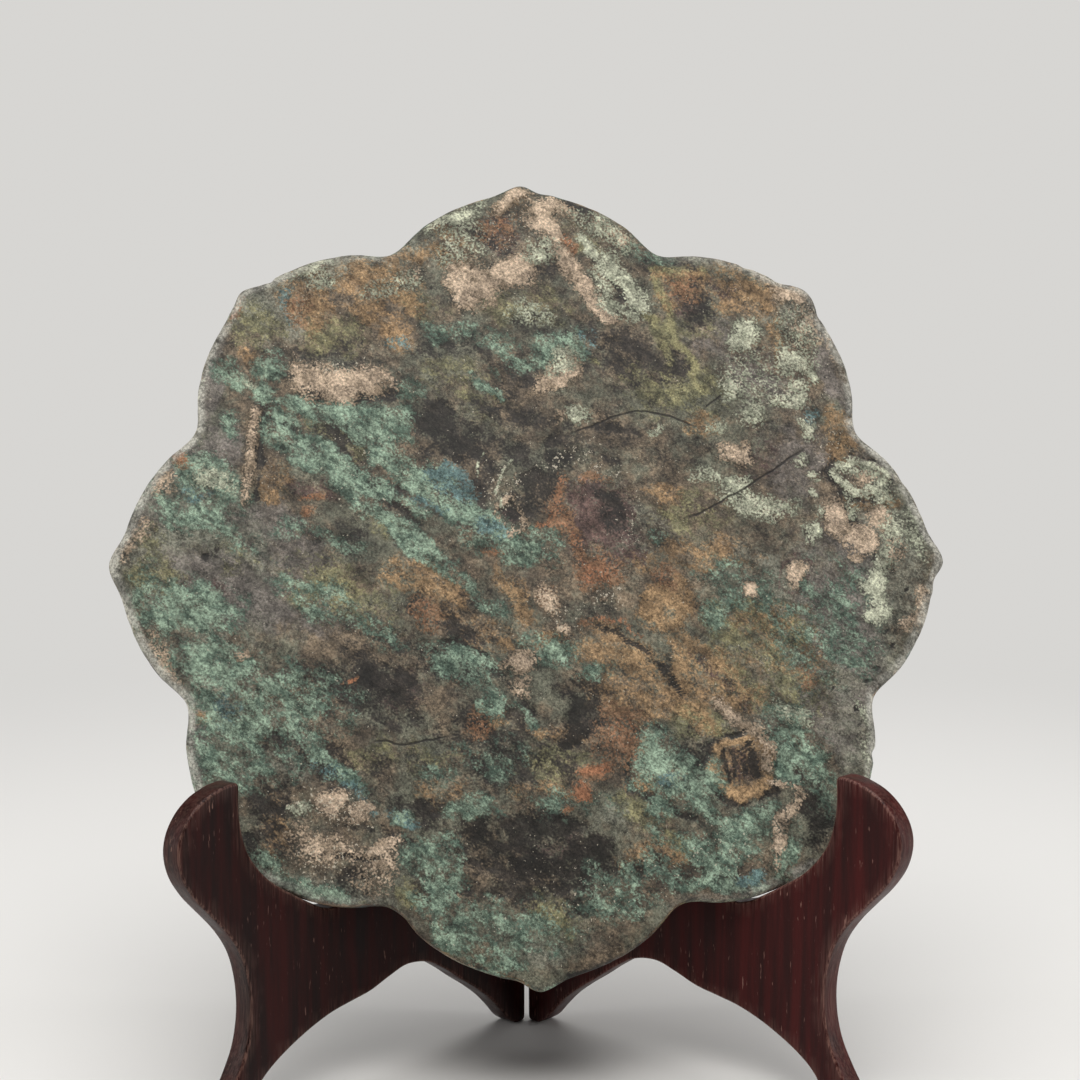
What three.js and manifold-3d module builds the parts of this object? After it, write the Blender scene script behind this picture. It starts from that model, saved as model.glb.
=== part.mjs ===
// Ancient bronze mirror with an eight-petal outline, resting on a folding hardwood stand.
// Millimetres, +Z up. The plain reflecting face looks towards -Y and leans back.
// The row's origin is the middle of the outer box, on the ground.
import * as THREE from 'three';
import { mergeVertices } from 'three/addons/utils/BufferGeometryUtils.js';
import Module from 'manifold-3d';

// ---- Driving dimensions ----
const FIT_GAP = 0.3; // between pieces that touch

// Mirror
const PETALS = 8;
const PETAL_STEPS = 18; // facets along one petal's edge
const RIM_R = 122.2; // mean outline radius; the petal points reach 130
const PETAL_WAVES = [6.5, -0.65, 1.2, 0.1, 0.4, 0.1, 0.1, 0.05]; // cosines, pointed petals
const MIRROR_LEAN = THREE.MathUtils.degToRad(21.2); // top away from the viewer
const MIRROR_MID_Z = 155.6; // height of the face's middle above the ground
const FACE_CAMBER = 0.8; // the polished face is slightly domed
const RIM_DEPTH = 7;
const RIM_WIDTH = 7.4;
const RIM_SLOPE = 3.2; // width of the rim's inner slope
const PLATE_DEPTH = 3.7;
const EDGE_BEVEL = 1.3;
const RING_R = 68; // plain raised ring on the back
const RING_WIDTH = 3;
const RING_HEIGHT = 1.2;
const KNOB_R = 15;
const KNOB_HEIGHT = 11.5;
const KNOB_HOLE_R = 3.5;
const KNOB_HOLE_HEIGHT = 5; // from the back's field to the hole's axis

// Stand
const WING_TURN = THREE.MathUtils.degToRad(45); // each wing from the middle plane
const WING_THICK = 7.8;
const WING_SOFT_EDGE = 0.6;
const HINGE_Y = 31; // hinge axis behind the middle of the mirror's face
const WING_START = 0.35; // from the hinge axis to a wing's back edge
const WING_TOP = 196;

// Hinges
const HINGE_HEIGHTS = { lower: 60, upper: 150 };
const HINGE_LENGTH = 30;
const BARREL_R = 2.2;
const PIN_R = 0.9;
const PIN_HEAD_R = 1.5;
const PIN_HEAD_DEPTH = 0.6;
const LEAF_THICK = 1;
const LEAF_FROM = 2.7; // leaf plate, measured across the wing's thickness
const LEAF_TO = 6.4;
const SCREW_ACROSS = 4.55;
const SCREW_RISE = 9; // above and below the hinge's middle
const SCREW_HEAD_R = 1.25;
const SCREW_R = 0.7;
const SCREW_LENGTH = 7;
const SCREW_SLOT = 0.4;
const SMALL_SIDES = 12; // facets round a barrel, pin or screw

// ---- Materials ----
const finish = (color, roughness, metalness) =>
  new THREE.MeshStandardMaterial({ color, roughness, metalness });
const patinaBronze = () => finish('#6d6b5b', 0.6, 0.35);
const darkHardwood = () => finish('#2a1411', 0.35, 0);
const agedBrass = () => finish('#8c6f3a', 0.42, 1);

// ---- Solid helpers ----
const wasm = await Module();
wasm.setup();
const { Manifold } = wasm;

function toSolid(geometry) {
  const bare = geometry.clone();
  bare.deleteAttribute('normal');
  bare.deleteAttribute('uv');
  const merged = mergeVertices(bare, 1e-4);
  const index = merged.index.array;
  const kept = [];
  for (let i = 0; i < index.length; i += 3) {
    const [a, b, c] = index.slice(i, i + 3);
    if (a !== b && b !== c && c !== a) kept.push(a, b, c);
  }
  const mesh = new wasm.Mesh({
    numProp: 3,
    vertProperties: new Float32Array(merged.attributes.position.array),
    triVerts: new Uint32Array(kept),
  });
  mesh.merge();
  return new Manifold(mesh);
}

function toGeometry(solid) {
  const { vertProperties, triVerts } = solid.getMesh();
  const geometry = new THREE.BufferGeometry();
  geometry.setAttribute('position', new THREE.BufferAttribute(vertProperties, 3));
  geometry.setIndex(new THREE.BufferAttribute(triVerts, 1));
  geometry.computeVertexNormals();
  return geometry;
}

const block = (low, high) => {
  const size = high.map((value, i) => value - low[i]);
  const middle = high.map((value, i) => (value + low[i]) / 2);
  return toSolid(new THREE.BoxGeometry(...size).translate(...middle));
};
const post = (radius, length, x, y, z) =>
  toSolid(new THREE.CylinderGeometry(radius, radius, length, SMALL_SIDES).translate(x, y, z));

function named(name, geometry, material) {
  const mesh = new THREE.Mesh(geometry, material);
  mesh.name = name;
  return mesh;
}

// ---- Mirror ----
// In the mirror's own frame +Y is the way the polished face looks and -Z is up its face.
function petalRadius(angle) {
  return PETAL_WAVES.reduce(
    (sum, wave, i) => sum + wave * Math.cos((i + 1) * PETALS * angle), RIM_R);
}
const TIP_R = petalRadius(0);

function mirrorProfile() {
  const back = -PLATE_DEPTH;
  const ringIn = RING_R - RING_WIDTH / 2;
  const ringOut = RING_R + RING_WIDTH / 2;
  const ringTop = back - RING_HEIGHT;
  const slope = RING_HEIGHT;
  const rimIn = TIP_R - RIM_WIDTH;
  return [
    [0, back], [ringIn - slope, back], [ringIn, ringTop], [ringOut, ringTop],
    [ringOut + slope, back], [rimIn - RIM_SLOPE, back], [rimIn, -RIM_DEPTH],
    [TIP_R - EDGE_BEVEL / 2, -RIM_DEPTH], [TIP_R, -RIM_DEPTH + EDGE_BEVEL / 2],
    [TIP_R, -EDGE_BEVEL], [TIP_R - 1.7 * EDGE_BEVEL, 0], [TIP_R * 0.86, 0.2 * FACE_CAMBER],
    [TIP_R * 0.54, 0.7 * FACE_CAMBER], [0, FACE_CAMBER],
  ].map(([r, depth]) => new THREE.Vector2(r, depth));
}

function petalShaped(geometry) {
  const at = geometry.attributes.position;
  const fullFrom = TIP_R - RIM_WIDTH - RIM_SLOPE;
  const roundTo = RING_R + 2 * RING_WIDTH;
  for (let i = 0; i < at.count; i += 1) {
    const x = at.getX(i);
    const z = at.getZ(i);
    const share = THREE.MathUtils.smoothstep(Math.hypot(x, z), roundTo, fullFrom);
    const scale = 1 + (petalRadius(Math.atan2(-z, x)) / TIP_R - 1) * share;
    at.setX(i, x * scale);
    at.setZ(i, z * scale);
  }
  return geometry;
}

function knob() {
  const ball = new THREE.SphereGeometry(KNOB_R, 32, 20);
  ball.scale(1, (KNOB_HEIGHT + 1) / KNOB_R, 1).translate(0, -PLATE_DEPTH + 1, 0);
  const plateSide = block([-20, -PLATE_DEPTH + 0.5, -20], [20, 20, 20]);
  return toSolid(ball).subtract(plateSide);
}

function mirror() {
  const disc = new THREE.LatheGeometry(mirrorProfile(), PETALS * PETAL_STEPS);
  const cordHole = new THREE.CylinderGeometry(KNOB_HOLE_R, KNOB_HOLE_R, 60, 32)
    .rotateZ(Math.PI / 2)
    .translate(0, -PLATE_DEPTH - KNOB_HOLE_HEIGHT, 0);
  const solid = toSolid(petalShaped(disc)).add(knob()).subtract(toSolid(cordHole));
  const mesh = named('mirror', toGeometry(solid), patinaBronze());
  mesh.position.z = MIRROR_MID_Z;
  mesh.rotation.x = Math.PI - MIRROR_LEAN;
  return mesh;
}

// ---- Stand wings ----
// A wing's outline: x runs forward from the hinge axis, y is height above the ground.
const points = (pairs) => pairs.map(([x, y]) => new THREE.Vector2(x, y));

function wingOutline() {
  const outline = new THREE.Shape();
  outline.moveTo(WING_START, 2);
  outline.quadraticCurveTo(WING_START, 0, WING_START + 1.6, 0);
  outline.lineTo(4.8, 0);
  // arch between the rear and front feet
  outline.splineThru(points([
    [8.6, 2.4], [12.4, 6.5], [17.3, 11.3], [23.5, 16], [30, 20.3], [37, 25.2], [45, 29.6],
    [54, 31], [62, 29], [70, 26.3], [78, 24.9], [86, 23.4], [94, 20.8], [102, 17.2],
    [108.5, 13.5], [113.3, 9.6], [116.2, 5.2], [117.3, 0],
  ]));
  outline.lineTo(128.2, 0);
  outline.quadraticCurveTo(132.4, 0.2, 130, 3);
  // front edge, up round the head of the hook
  outline.splineThru(points([
    [126, 7.2], [122.2, 13.2], [119, 19.8], [117.3, 27], [117, 34.5], [118.1, 42],
    [120.6, 49.2], [125, 55.8], [130.6, 61.8], [136.1, 67.6], [140.3, 73.9],
    [142, 80.5], [141, 86.4], [137.6, 91.7], [132.6, 95.6], [127, 97.8],
  ]));
  outline.quadraticCurveTo(123.5, 98.7, 121.2, 98.5);
  outline.quadraticCurveTo(120.2, 98.3, 120.2, 97);
  // inside of the hook and the notch that carries the mirror's rim
  outline.splineThru(points([
    [120.3, 90.5], [119.5, 84.4], [117.3, 77.8], [113.2, 72], [107.8, 67], [101.8, 63.2],
    [95.4, 59.4], [89, 56.2], [83.6, 55.6], [79.6, 59],
  ]));
  // back of the notch and the upright's front edge, up to where the mirror leans on it
  outline.splineThru(points([
    [76.6, 65], [73.6, 74], [69.4, 85], [63.8, 98], [57, 112], [49.4, 127], [41.4, 143],
    [33.6, 159], [27.4, 174], [22, 185.6], [19, 191],
  ]));
  outline.quadraticCurveTo(16, WING_TOP, 9.5, WING_TOP);
  outline.quadraticCurveTo(WING_START, WING_TOP, WING_START, WING_TOP - 9);
  return outline;
}

// Lays a wing's own frame on the right (side = 1) or left (side = -1) of the hinge axis.
function placeOnSide(mesh, side) {
  const forward = new THREE.Vector3(side * Math.sin(WING_TURN), -Math.cos(WING_TURN), 0);
  const up = new THREE.Vector3(0, 0, 1);
  const across = new THREE.Vector3().crossVectors(forward, up);
  mesh.quaternion.setFromRotationMatrix(new THREE.Matrix4().makeBasis(forward, up, across));
  mesh.position.y = HINGE_Y;
  return mesh;
}
// A wing's thickness runs from 0 at its inner face to the outside, along -side in its frame.
const acrossSpan = (side, from, to) => (side > 0 ? [-to, -from] : [from, to]);

function wingBoard(side) {
  const board = new THREE.ExtrudeGeometry(wingOutline(), {
    depth: WING_THICK - 2 * WING_SOFT_EDGE,
    bevelEnabled: true,
    bevelSize: WING_SOFT_EDGE,
    bevelOffset: -WING_SOFT_EDGE,
    bevelThickness: WING_SOFT_EDGE,
    bevelSegments: 1,
    curveSegments: 2,
  });
  board.translate(0, 0, WING_SOFT_EDGE + acrossSpan(side, 0, WING_THICK)[0]);
  return toSolid(board);
}

function wing(name, side) {
  let solid = wingBoard(side);
  for (const middle of Object.values(HINGE_HEIGHTS)) {
    const half = HINGE_LENGTH / 2 + FIT_GAP;
    const pocketHalf = half + PIN_HEAD_DEPTH;
    const [near, far] = acrossSpan(side, -1, LEAF_TO + FIT_GAP);
    const leafBed = block(
      [-1, middle - half, near], [WING_START + LEAF_THICK + FIT_GAP, middle + half, far]);
    const barrelBed = post(BARREL_R + FIT_GAP, 2 * pocketHalf, 0, middle, 0);
    solid = solid.subtract(leafBed).subtract(barrelBed);
    for (const rise of [-SCREW_RISE, SCREW_RISE]) {
      solid = solid.subtract(screwSolid(side, middle + rise, FIT_GAP));
    }
  }
  return placeOnSide(named(name, toGeometry(solid), darkHardwood()), side);
}

// ---- Hinges ----
function screwSolid(side, height, extra = 0) {
  const top = -(extra > 0 ? 1 : 0);
  const shank = SCREW_R + extra;
  const head = SCREW_HEAD_R + extra;
  const profile = points([
    [0, SCREW_LENGTH + extra], [shank / 2, SCREW_LENGTH - 0.2 + extra],
    [shank, SCREW_LENGTH - 1.5 + extra], [shank, LEAF_THICK - 0.2], [head, 0.15], [head, top],
    [0, top],
  ].reverse());
  const turned = new THREE.LatheGeometry(profile, SMALL_SIDES).rotateZ(-Math.PI / 2);
  const across = acrossSpan(side, SCREW_ACROSS, SCREW_ACROSS)[0];
  return toSolid(turned.translate(WING_START, height, across));
}

function screw(name, side, height) {
  const across = acrossSpan(side, SCREW_ACROSS, SCREW_ACROSS)[0];
  const reach = 2 * SCREW_HEAD_R;
  const slot = block(
    [WING_START - 1, height - SCREW_SLOT / 2, across - reach],
    [WING_START + SCREW_SLOT, height + SCREW_SLOT / 2, across + reach]);
  const solid = screwSolid(side, height).subtract(slot);
  return placeOnSide(named(name, toGeometry(solid), agedBrass()), side);
}

// The barrel is cut in three knuckles: the left leaf owns the two outer ones.
function knuckleSpans(side, middle) {
  const third = HINGE_LENGTH / 3;
  const low = middle - HINGE_LENGTH / 2;
  const spans = side > 0
    ? [[low + third + FIT_GAP, low + 2 * third - FIT_GAP]]
    : [[low, low + third], [low + 2 * third, low + HINGE_LENGTH]];
  return spans;
}

function hingeLeaf(name, side, middle) {
  const [plateNear, plateFar] = acrossSpan(side, LEAF_FROM, LEAF_TO);
  const [tongueNear, tongueFar] = acrossSpan(side, 0, LEAF_FROM + 0.1);
  const low = middle - HINGE_LENGTH / 2;
  let solid = block(
    [WING_START, low, plateNear], [WING_START + LEAF_THICK, low + HINGE_LENGTH, plateFar]);
  for (const [from, to] of knuckleSpans(side, middle)) {
    const tongue = block(
      [WING_START, from, tongueNear], [WING_START + LEAF_THICK, to, tongueFar]);
    solid = solid.add(tongue).add(post(BARREL_R, to - from, 0, (from + to) / 2, 0));
  }
  solid = solid.subtract(post(PIN_R + FIT_GAP, 2 * HINGE_LENGTH, 0, middle, 0));
  for (const rise of [-SCREW_RISE, SCREW_RISE]) {
    solid = solid.subtract(screwSolid(side, middle + rise, FIT_GAP));
  }
  return placeOnSide(named(name, toGeometry(solid), agedBrass()), side);
}

function hingePin(name, middle) {
  const half = HINGE_LENGTH / 2 + FIT_GAP;
  const end = half + PIN_HEAD_DEPTH - FIT_GAP;
  const profile = points([
    [0, -end], [PIN_HEAD_R - 0.4, -end], [PIN_HEAD_R, -end + 0.2], [PIN_HEAD_R, -half],
    [PIN_R, -half], [PIN_R, half], [PIN_HEAD_R, half], [PIN_HEAD_R, end - 0.2],
    [PIN_HEAD_R - 0.4, end], [0, end],
  ]);
  const mesh = named(name, new THREE.LatheGeometry(profile, SMALL_SIDES), agedBrass());
  mesh.rotation.x = Math.PI / 2;
  mesh.position.set(0, HINGE_Y, middle);
  return mesh;
}

function hinge(which, middle) {
  const group = new THREE.Group();
  group.add(
    hingeLeaf(`hinge_${which}_leaf_left`, -1, middle),
    hingeLeaf(`hinge_${which}_leaf_right`, 1, middle),
    hingePin(`hinge_${which}_pin`, middle));
  for (const [hand, side] of [['left', -1], ['right', 1]]) {
    group.add(
      screw(`hinge_${which}_screw_${hand}_bottom`, side, middle - SCREW_RISE),
      screw(`hinge_${which}_screw_${hand}_top`, side, middle + SCREW_RISE));
  }
  return group;
}

// ---- Whole object ----
const object = new THREE.Group();
object.add(mirror(), wing('stand_wing_left', -1), wing('stand_wing_right', 1));
for (const [which, middle] of Object.entries(HINGE_HEIGHTS)) {
  object.add(hinge(which, middle));
}
const reach = new THREE.Box3().setFromObject(object, true);
object.position.y = -(reach.min.y + reach.max.y) / 2;

export default object;
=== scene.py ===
# %% [markdown]
# # An ancient bronze mirror on its folding stand
# The object is a cast bronze disc with eight pointed petals, leaning back on two hinged boards of dark
# hardwood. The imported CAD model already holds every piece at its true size, so it is loaded first and
# nothing in it is moved. Everything after this gives the pieces the surface that centuries gave them.
# The sizes below are in millimetres, as a maker would say them, and MM turns them into Blender's metres.

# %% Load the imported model
import math

import bmesh
import bpy
import numpy as np
from mathutils import Matrix, Vector, noise
from mathutils.geometry import delaunay_2d_cdt


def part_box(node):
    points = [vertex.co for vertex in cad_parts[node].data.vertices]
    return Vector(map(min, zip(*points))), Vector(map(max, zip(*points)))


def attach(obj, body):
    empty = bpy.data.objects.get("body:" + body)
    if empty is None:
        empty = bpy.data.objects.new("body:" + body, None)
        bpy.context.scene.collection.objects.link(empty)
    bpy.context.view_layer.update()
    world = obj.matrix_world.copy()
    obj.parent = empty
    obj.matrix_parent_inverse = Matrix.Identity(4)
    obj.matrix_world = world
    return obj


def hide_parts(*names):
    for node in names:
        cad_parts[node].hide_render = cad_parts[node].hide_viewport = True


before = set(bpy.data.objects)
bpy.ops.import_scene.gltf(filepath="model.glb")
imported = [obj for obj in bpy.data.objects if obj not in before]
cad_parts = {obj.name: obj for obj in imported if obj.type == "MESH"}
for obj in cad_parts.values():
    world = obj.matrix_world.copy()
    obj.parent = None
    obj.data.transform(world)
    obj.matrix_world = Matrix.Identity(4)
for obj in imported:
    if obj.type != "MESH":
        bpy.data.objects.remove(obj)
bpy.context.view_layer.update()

MM = 0.001
scene = bpy.context.scene

# %% [markdown]
# ## The camera
# The camera stands a little to the left of the mirror's middle and looks slightly down, with a long lens
# that keeps the petals regular. It is placed by where the middle of the mirror's face lies in its view:
# a few millimetres left of and below the axis, and about six hundred in front. A camera could also be
# aimed with a constraint, but plain angles are easier to read and to repeat.

# %% Camera
MIRROR_LEAN = math.radians(21.2)
TIP_R = (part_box("mirror")[1].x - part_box("mirror")[0].x) / 2 / MM
FACE_CAMBER = 0.8
EDGE_BEVEL = 1.3

mirror_low, mirror_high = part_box("mirror")
face_middle_y = mirror_low.y / MM + (TIP_R - 1.7 * EDGE_BEVEL) * math.sin(MIRROR_LEAN)
face_middle_z = mirror_high.z / MM - TIP_R * math.cos(MIRROR_LEAN) + EDGE_BEVEL * math.sin(MIRROR_LEAN)
FACE_MIDDLE = Vector((0, face_middle_y, face_middle_z)) * MM

LOOK_DOWN = math.radians(4.73)
LOOK_RIGHT = math.radians(3.0)
MIDDLE_IN_VIEW = Vector((-2.8, -7.0, -605)) * MM

camera_data = bpy.data.cameras.new("studio_camera")
camera_data.lens = 65
camera_data.sensor_width = 36
camera = bpy.data.objects.new("studio_camera", camera_data)
camera.rotation_euler = (math.pi / 2 - LOOK_DOWN, 0, -LOOK_RIGHT)
camera.location = FACE_MIDDLE - camera.rotation_euler.to_matrix() @ MIDDLE_IN_VIEW
scene.collection.objects.link(camera)
scene.camera = camera
print("face middle at", [round(x / MM, 2) for x in FACE_MIDDLE], "camera at", camera.location)

# %% [markdown]
# ## Helpers for materials
# A material is a small net of nodes. These helpers add one node, or start a named group, in one line each.
# Colours are written as a painter's swatch, six hexadecimal digits, and turned into the linear numbers
# that Blender works with.

# %% Helpers for colours and nodes
def new_material(name):
    material = bpy.data.materials.new(name)
    material.use_nodes = True
    return material, material.node_tree, material.node_tree.nodes["Principled BSDF"]


def tone(swatch):
    parts = [int(swatch[i:i + 2], 16) / 255 for i in (0, 2, 4)]
    return (*[p / 12.92 if p < 0.04 else ((p + 0.055) / 1.055) ** 2.4 for p in parts], 1)


def put(tree, kind, inputs=None, **settings):
    """Adds a node. An input is either another node's output, which is linked, or a plain value."""
    made = tree.nodes.new("ShaderNode" + kind)
    for name, value in settings.items():
        setattr(made, name, value)
    for name, value in (inputs or {}).items():
        if isinstance(value, bpy.types.NodeSocket):
            tree.links.new(value, made.inputs[name])
        else:
            made.inputs[name].default_value = value
    return made


print("the swatch 7d6e5b is", [round(part, 3) for part in tone("7d6e5b")], "in linear numbers")

# %% Helpers for sums, blends and slopes
def sums(tree, operation, *values):
    return put(tree, "Math", dict(enumerate(values)), operation=operation).outputs[0]


def blend(tree, share, under, over, how="MIX"):
    mixed = put(tree, "Mix", data_type="RGBA", blend_type=how)
    for socket, value in ((mixed.inputs[0], share), (mixed.inputs[6], under), (mixed.inputs[7], over)):
        if isinstance(value, bpy.types.NodeSocket):
            tree.links.new(value, socket)
        else:
            socket.default_value = value
    return mixed.outputs[2]


def steps(tree, value, low, high, to_low=0.0, to_high=1.0):
    """Turns a range of values into another with an easy slope and clean ends."""
    given = {"Value": value, "From Min": low, "From Max": high, "To Min": to_low, "To Max": to_high}
    return put(tree, "MapRange", given, interpolation_type="SMOOTHSTEP").outputs[0]


print("nodes can be added up, blended and stepped")

# %% Helpers for node groups
def start_group(name, inputs, outputs):
    """A new node group, with its sockets given as name: (kind, plain value)."""
    group = bpy.data.node_groups.new(name, "ShaderNodeTree")
    for socket_name, (kind, value) in inputs.items():
        socket = group.interface.new_socket(socket_name, in_out="INPUT", socket_type="NodeSocket" + kind)
        if value is not None:
            socket.default_value = value
    for socket_name, kind in outputs.items():
        group.interface.new_socket(socket_name, in_out="OUTPUT", socket_type="NodeSocket" + kind)
    return group, group.nodes.new("NodeGroupInput").outputs, group.nodes.new("NodeGroupOutput").inputs


def place_group(tree, group, inputs):
    placed = tree.nodes.new("ShaderNodeGroup")
    placed.node_tree = group
    for name, value in inputs.items():
        if isinstance(value, bpy.types.NodeSocket):
            tree.links.new(value, placed.inputs[name])
        else:
            placed.inputs[name].default_value = value
    return placed.outputs


print("groups can be started and placed")

# %% [markdown]
# ## Floor and lamps
# The mirror is shown as in a studio: a plain pale floor, one broad lamp above the viewer, and a long narrow
# lamp on each side that draws a thin light along the rounded rim and the arrises of the stand. The sky is
# a plain pale grey. It lights the object less than it shows, because dark polished wood mirrors whatever
# is around it, and a bright room would turn it grey.

# %% Floor
BACKDROP = (0.68, 0.67, 0.65, 1)
FLOOR_TONE = (0.78, 0.77, 0.75, 1)
BLACK = (0, 0, 0, 1)
FADE_FROM, FADE_TO = 0.3, 0.9  # metres from the object
bpy.ops.mesh.primitive_plane_add(size=12, location=(0, 0, 0))
floor = bpy.context.object
floor.name = "studio_floor"
pale_floor, tree, shader = new_material("pale_floor")
floor.data.materials.append(pale_floor)
# Far from the object the floor fades into the same even grey as the sky, so that no horizon shows.
away = put(tree, "VectorMath", {0: put(tree, "TexCoord").outputs["Object"]}, operation="LENGTH")
fade = steps(tree, away.outputs["Value"], FADE_FROM, FADE_TO)
tree.links.new(blend(tree, fade, FLOOR_TONE, BLACK), shader.inputs["Base Color"])
tree.links.new(blend(tree, fade, BLACK, BACKDROP), shader.inputs["Emission Color"])
shader.inputs["Roughness"].default_value = 0.9
shader.inputs["Emission Strength"].default_value = 1.0
shader.inputs["Specular IOR Level"].default_value = 0.0
print("the floor fades out between", FADE_FROM, "and", FADE_TO, "m")

# %% Sky
sky = bpy.data.worlds.new("studio_sky")
scene.world = sky
sky.use_nodes = True
seen_sky = sky.node_tree.nodes["Background"]
seen_sky.inputs["Color"].default_value = BACKDROP
lighting_sky = put(sky.node_tree, "Background", {"Color": (0.95, 0.95, 0.97, 1), "Strength": 0.1})
seen_by_camera = put(sky.node_tree, "LightPath").outputs["Is Camera Ray"]
pick_sky = put(sky.node_tree, "MixShader", {
    0: seen_by_camera, 1: lighting_sky.outputs[0], 2: seen_sky.outputs[0]})
sky.node_tree.links.new(pick_sky.outputs[0], sky.node_tree.nodes["World Output"].inputs["Surface"])
print("sky:", sky.name)

# %% Lamps
def lamp(name, spot, aim, size, watts, colour):
    """A soft rectangular lamp, in metres, turned towards the point that it lights."""
    data = bpy.data.lights.new(name, "AREA")
    data.shape = "RECTANGLE"
    data.size, data.size_y = size
    data.energy = watts
    data.color = colour
    lamp_object = bpy.data.objects.new(name, data)
    lamp_object.location = spot
    lamp_object.rotation_euler = (Vector(aim) - Vector(spot)).to_track_quat("-Z", "Y").to_euler()
    scene.collection.objects.link(lamp_object)


lamp("broad_lamp_above", (-0.06, -0.45, 0.72), (0, 0.02, 0.24), (0.7, 0.4), 2.5, (1, 0.97, 0.93))
lamp("long_lamp_left", (-0.95, -0.05, 0.35), (0, 0, 0.16), (0.16, 0.8), 1.7, (1, 0.99, 0.98))
lamp("long_lamp_right", (0.95, -0.10, 0.35), (0, 0, 0.16), (0.16, 0.8), 2.0, (1, 0.99, 0.98))
lamp("broad_lamp_behind", (0.3, 1.2, 0.9), (0, 0, 0.12), (0.8, 0.6), 3, (1, 0.99, 0.97))
ceiling = bpy.data.objects.new("soft_ceiling", bpy.data.lights.new("soft_ceiling", "SUN"))
ceiling.data.energy = 2.0
ceiling.data.angle = math.radians(70)
ceiling.rotation_euler = (math.radians(10), 0, 0)
scene.collection.objects.link(ceiling)
scene.view_settings.view_transform = "Standard"

# %% [markdown]
# ## Soft random ground
# Corrosion spreads in clouds: big soft patches with smaller ones on them. The same clouds are needed in
# the shape of the metal and in its finishes, so one function makes them from Perlin's noise, point by
# point. A displacement modifier with a cloud texture could move the mesh too, but it could not also tell
# the material where each finish lies.

# %% Clouds over the face of a piece
def cloud(u, v, size, seed, layers=1):
    """Soft hills about `size` millimetres apart, from 0 to 1. Each further layer is half the size."""
    spots = zip((u / size).tolist(), (v / size).tolist())
    hills = [noise.fractal((x, y, 3.37 * seed), 1.0, 2.0, layers) for x, y in spots]
    return np.clip(0.5 + 0.7 * np.array(hills), 0, 1)


def smooth_between(low, high, value):
    """0 below low, 1 above high, and an easy slope between them."""
    share = np.clip((value - low) / (high - low), 0, 1)
    return share * share * (3 - 2 * share)


samples = cloud(np.arange(100.0), np.zeros(100), 12, 1)
print("a row of cloud runs from", round(float(samples.min()), 2), "to", round(float(samples.max()), 2))

# %% Helpers for meshes
def closed_mesh(name, points, faces):
    """A mesh from its points and faces, with every face turned outwards."""
    mesh = bpy.data.meshes.new(name)
    mesh.from_pydata(points, [], faces)
    bm = bmesh.new()
    bm.from_mesh(mesh)
    bmesh.ops.recalc_face_normals(bm, faces=bm.faces)
    bm.to_mesh(mesh)
    bm.free()
    return mesh


def mark(mesh, name, values):
    """Keeps one number for each point of a mesh, for its material to read."""
    mesh.attributes.new(name, "FLOAT", "POINT").data.foreach_set("value", values)


def triangles_in(mesh):
    return sum(len(face.vertices) - 2 for face in mesh.polygons)


print("the plain mirror has", triangles_in(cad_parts["mirror"].data), "triangles")

# %% [markdown]
# ## The mirror's metal
# The disc was cast in one: a thin slightly domed plate, a raised rim and ring on the back, and a pierced
# knob for a cord. Here its face is a square grid pressed into a disc, because that gives cells of even
# size from the middle to the edge, and the surface needs them small. Rings of points carry it round the
# edge, and fewer and larger faces do for the plain back. A subdivided circle would crowd its points in
# the middle and leave the rim coarse.

# %% Sizes of the casting
PETALS = 8
PETAL_WAVES = [6.5, -0.65, 1.2, 0.1, 0.4, 0.1, 0.1, 0.05]
RIM_R = TIP_R - sum(PETAL_WAVES)
PLATE_DEPTH = 3.7
ROUND_TO_R = 74
PETAL_FROM_R = TIP_R - 10.6
RING_R = 68
KNOB_R = 15
KNOB_HEIGHT = 11.5
CORD_HOLE_R = 3.5
CORD_HOLE_HEIGHT = 5

FACE_RINGS = 128
EDGE_POINTS = 8 * FACE_RINGS
BACK_POINTS = EDGE_POINTS // 4
FACE_EDGE = 4.2  # the flat face ends this far inside the petal's tip
# The rounded edge from the face to the back of the rim: (distance inside the outline, height).
EDGE_SECTION = [
    (3.4, -0.04), (2.5, -0.17), (1.7, -0.38), (1.0, -0.68), (0.5, -1.05), (0.15, -1.5), (0, -2.1),
    (0, -3.4), (0, -4.8), (0.1, -5.8), (0.35, -6.4), (0.8, -6.8), (1.6, -7.0), (4.4, -7.0),
    (6.8, -6.95), (7.8, -6.5), (9.2, -5.0), (10.3, -4.0), (11.4, -3.7),
]
print("the edge is carried round by", len(EDGE_SECTION), "rings of", EDGE_POINTS, "points")

# %% The petals' outline
def petal_radius(angle):
    return RIM_R + sum(
        wave * np.cos((i + 1) * PETALS * angle) for i, wave in enumerate(PETAL_WAVES)
    )


def petal_shaped(radius, angle):
    """Moves a point of a round disc out or in, so that rings near the edge follow the petals."""
    share = smooth_between(ROUND_TO_R, PETAL_FROM_R, radius)
    return radius * (1 + (petal_radius(angle) / TIP_R - 1) * share)


def ring_points(radius, height, count):
    angle = np.arange(count) * 2 * math.pi / count
    radius = petal_shaped(np.full(count, float(radius)), angle)
    return np.column_stack([radius * np.cos(angle), radius * np.sin(angle), np.full(count, float(height))])


print("petals from", round(float(petal_radius(math.pi / PETALS)), 1), "to", round(TIP_R, 1), "mm")

# %% [markdown]
# ## Points and faces of the casting
# A founder would cut this outline once into the mould's clay. In a mesh it needs points instead, and two
# kinds are joined here: the pressed grid, whose outermost points run in order of angle, and the rings that
# carry on from them over the edge to the knob. A ring with fewer points than the last is joined by fans.

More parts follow.
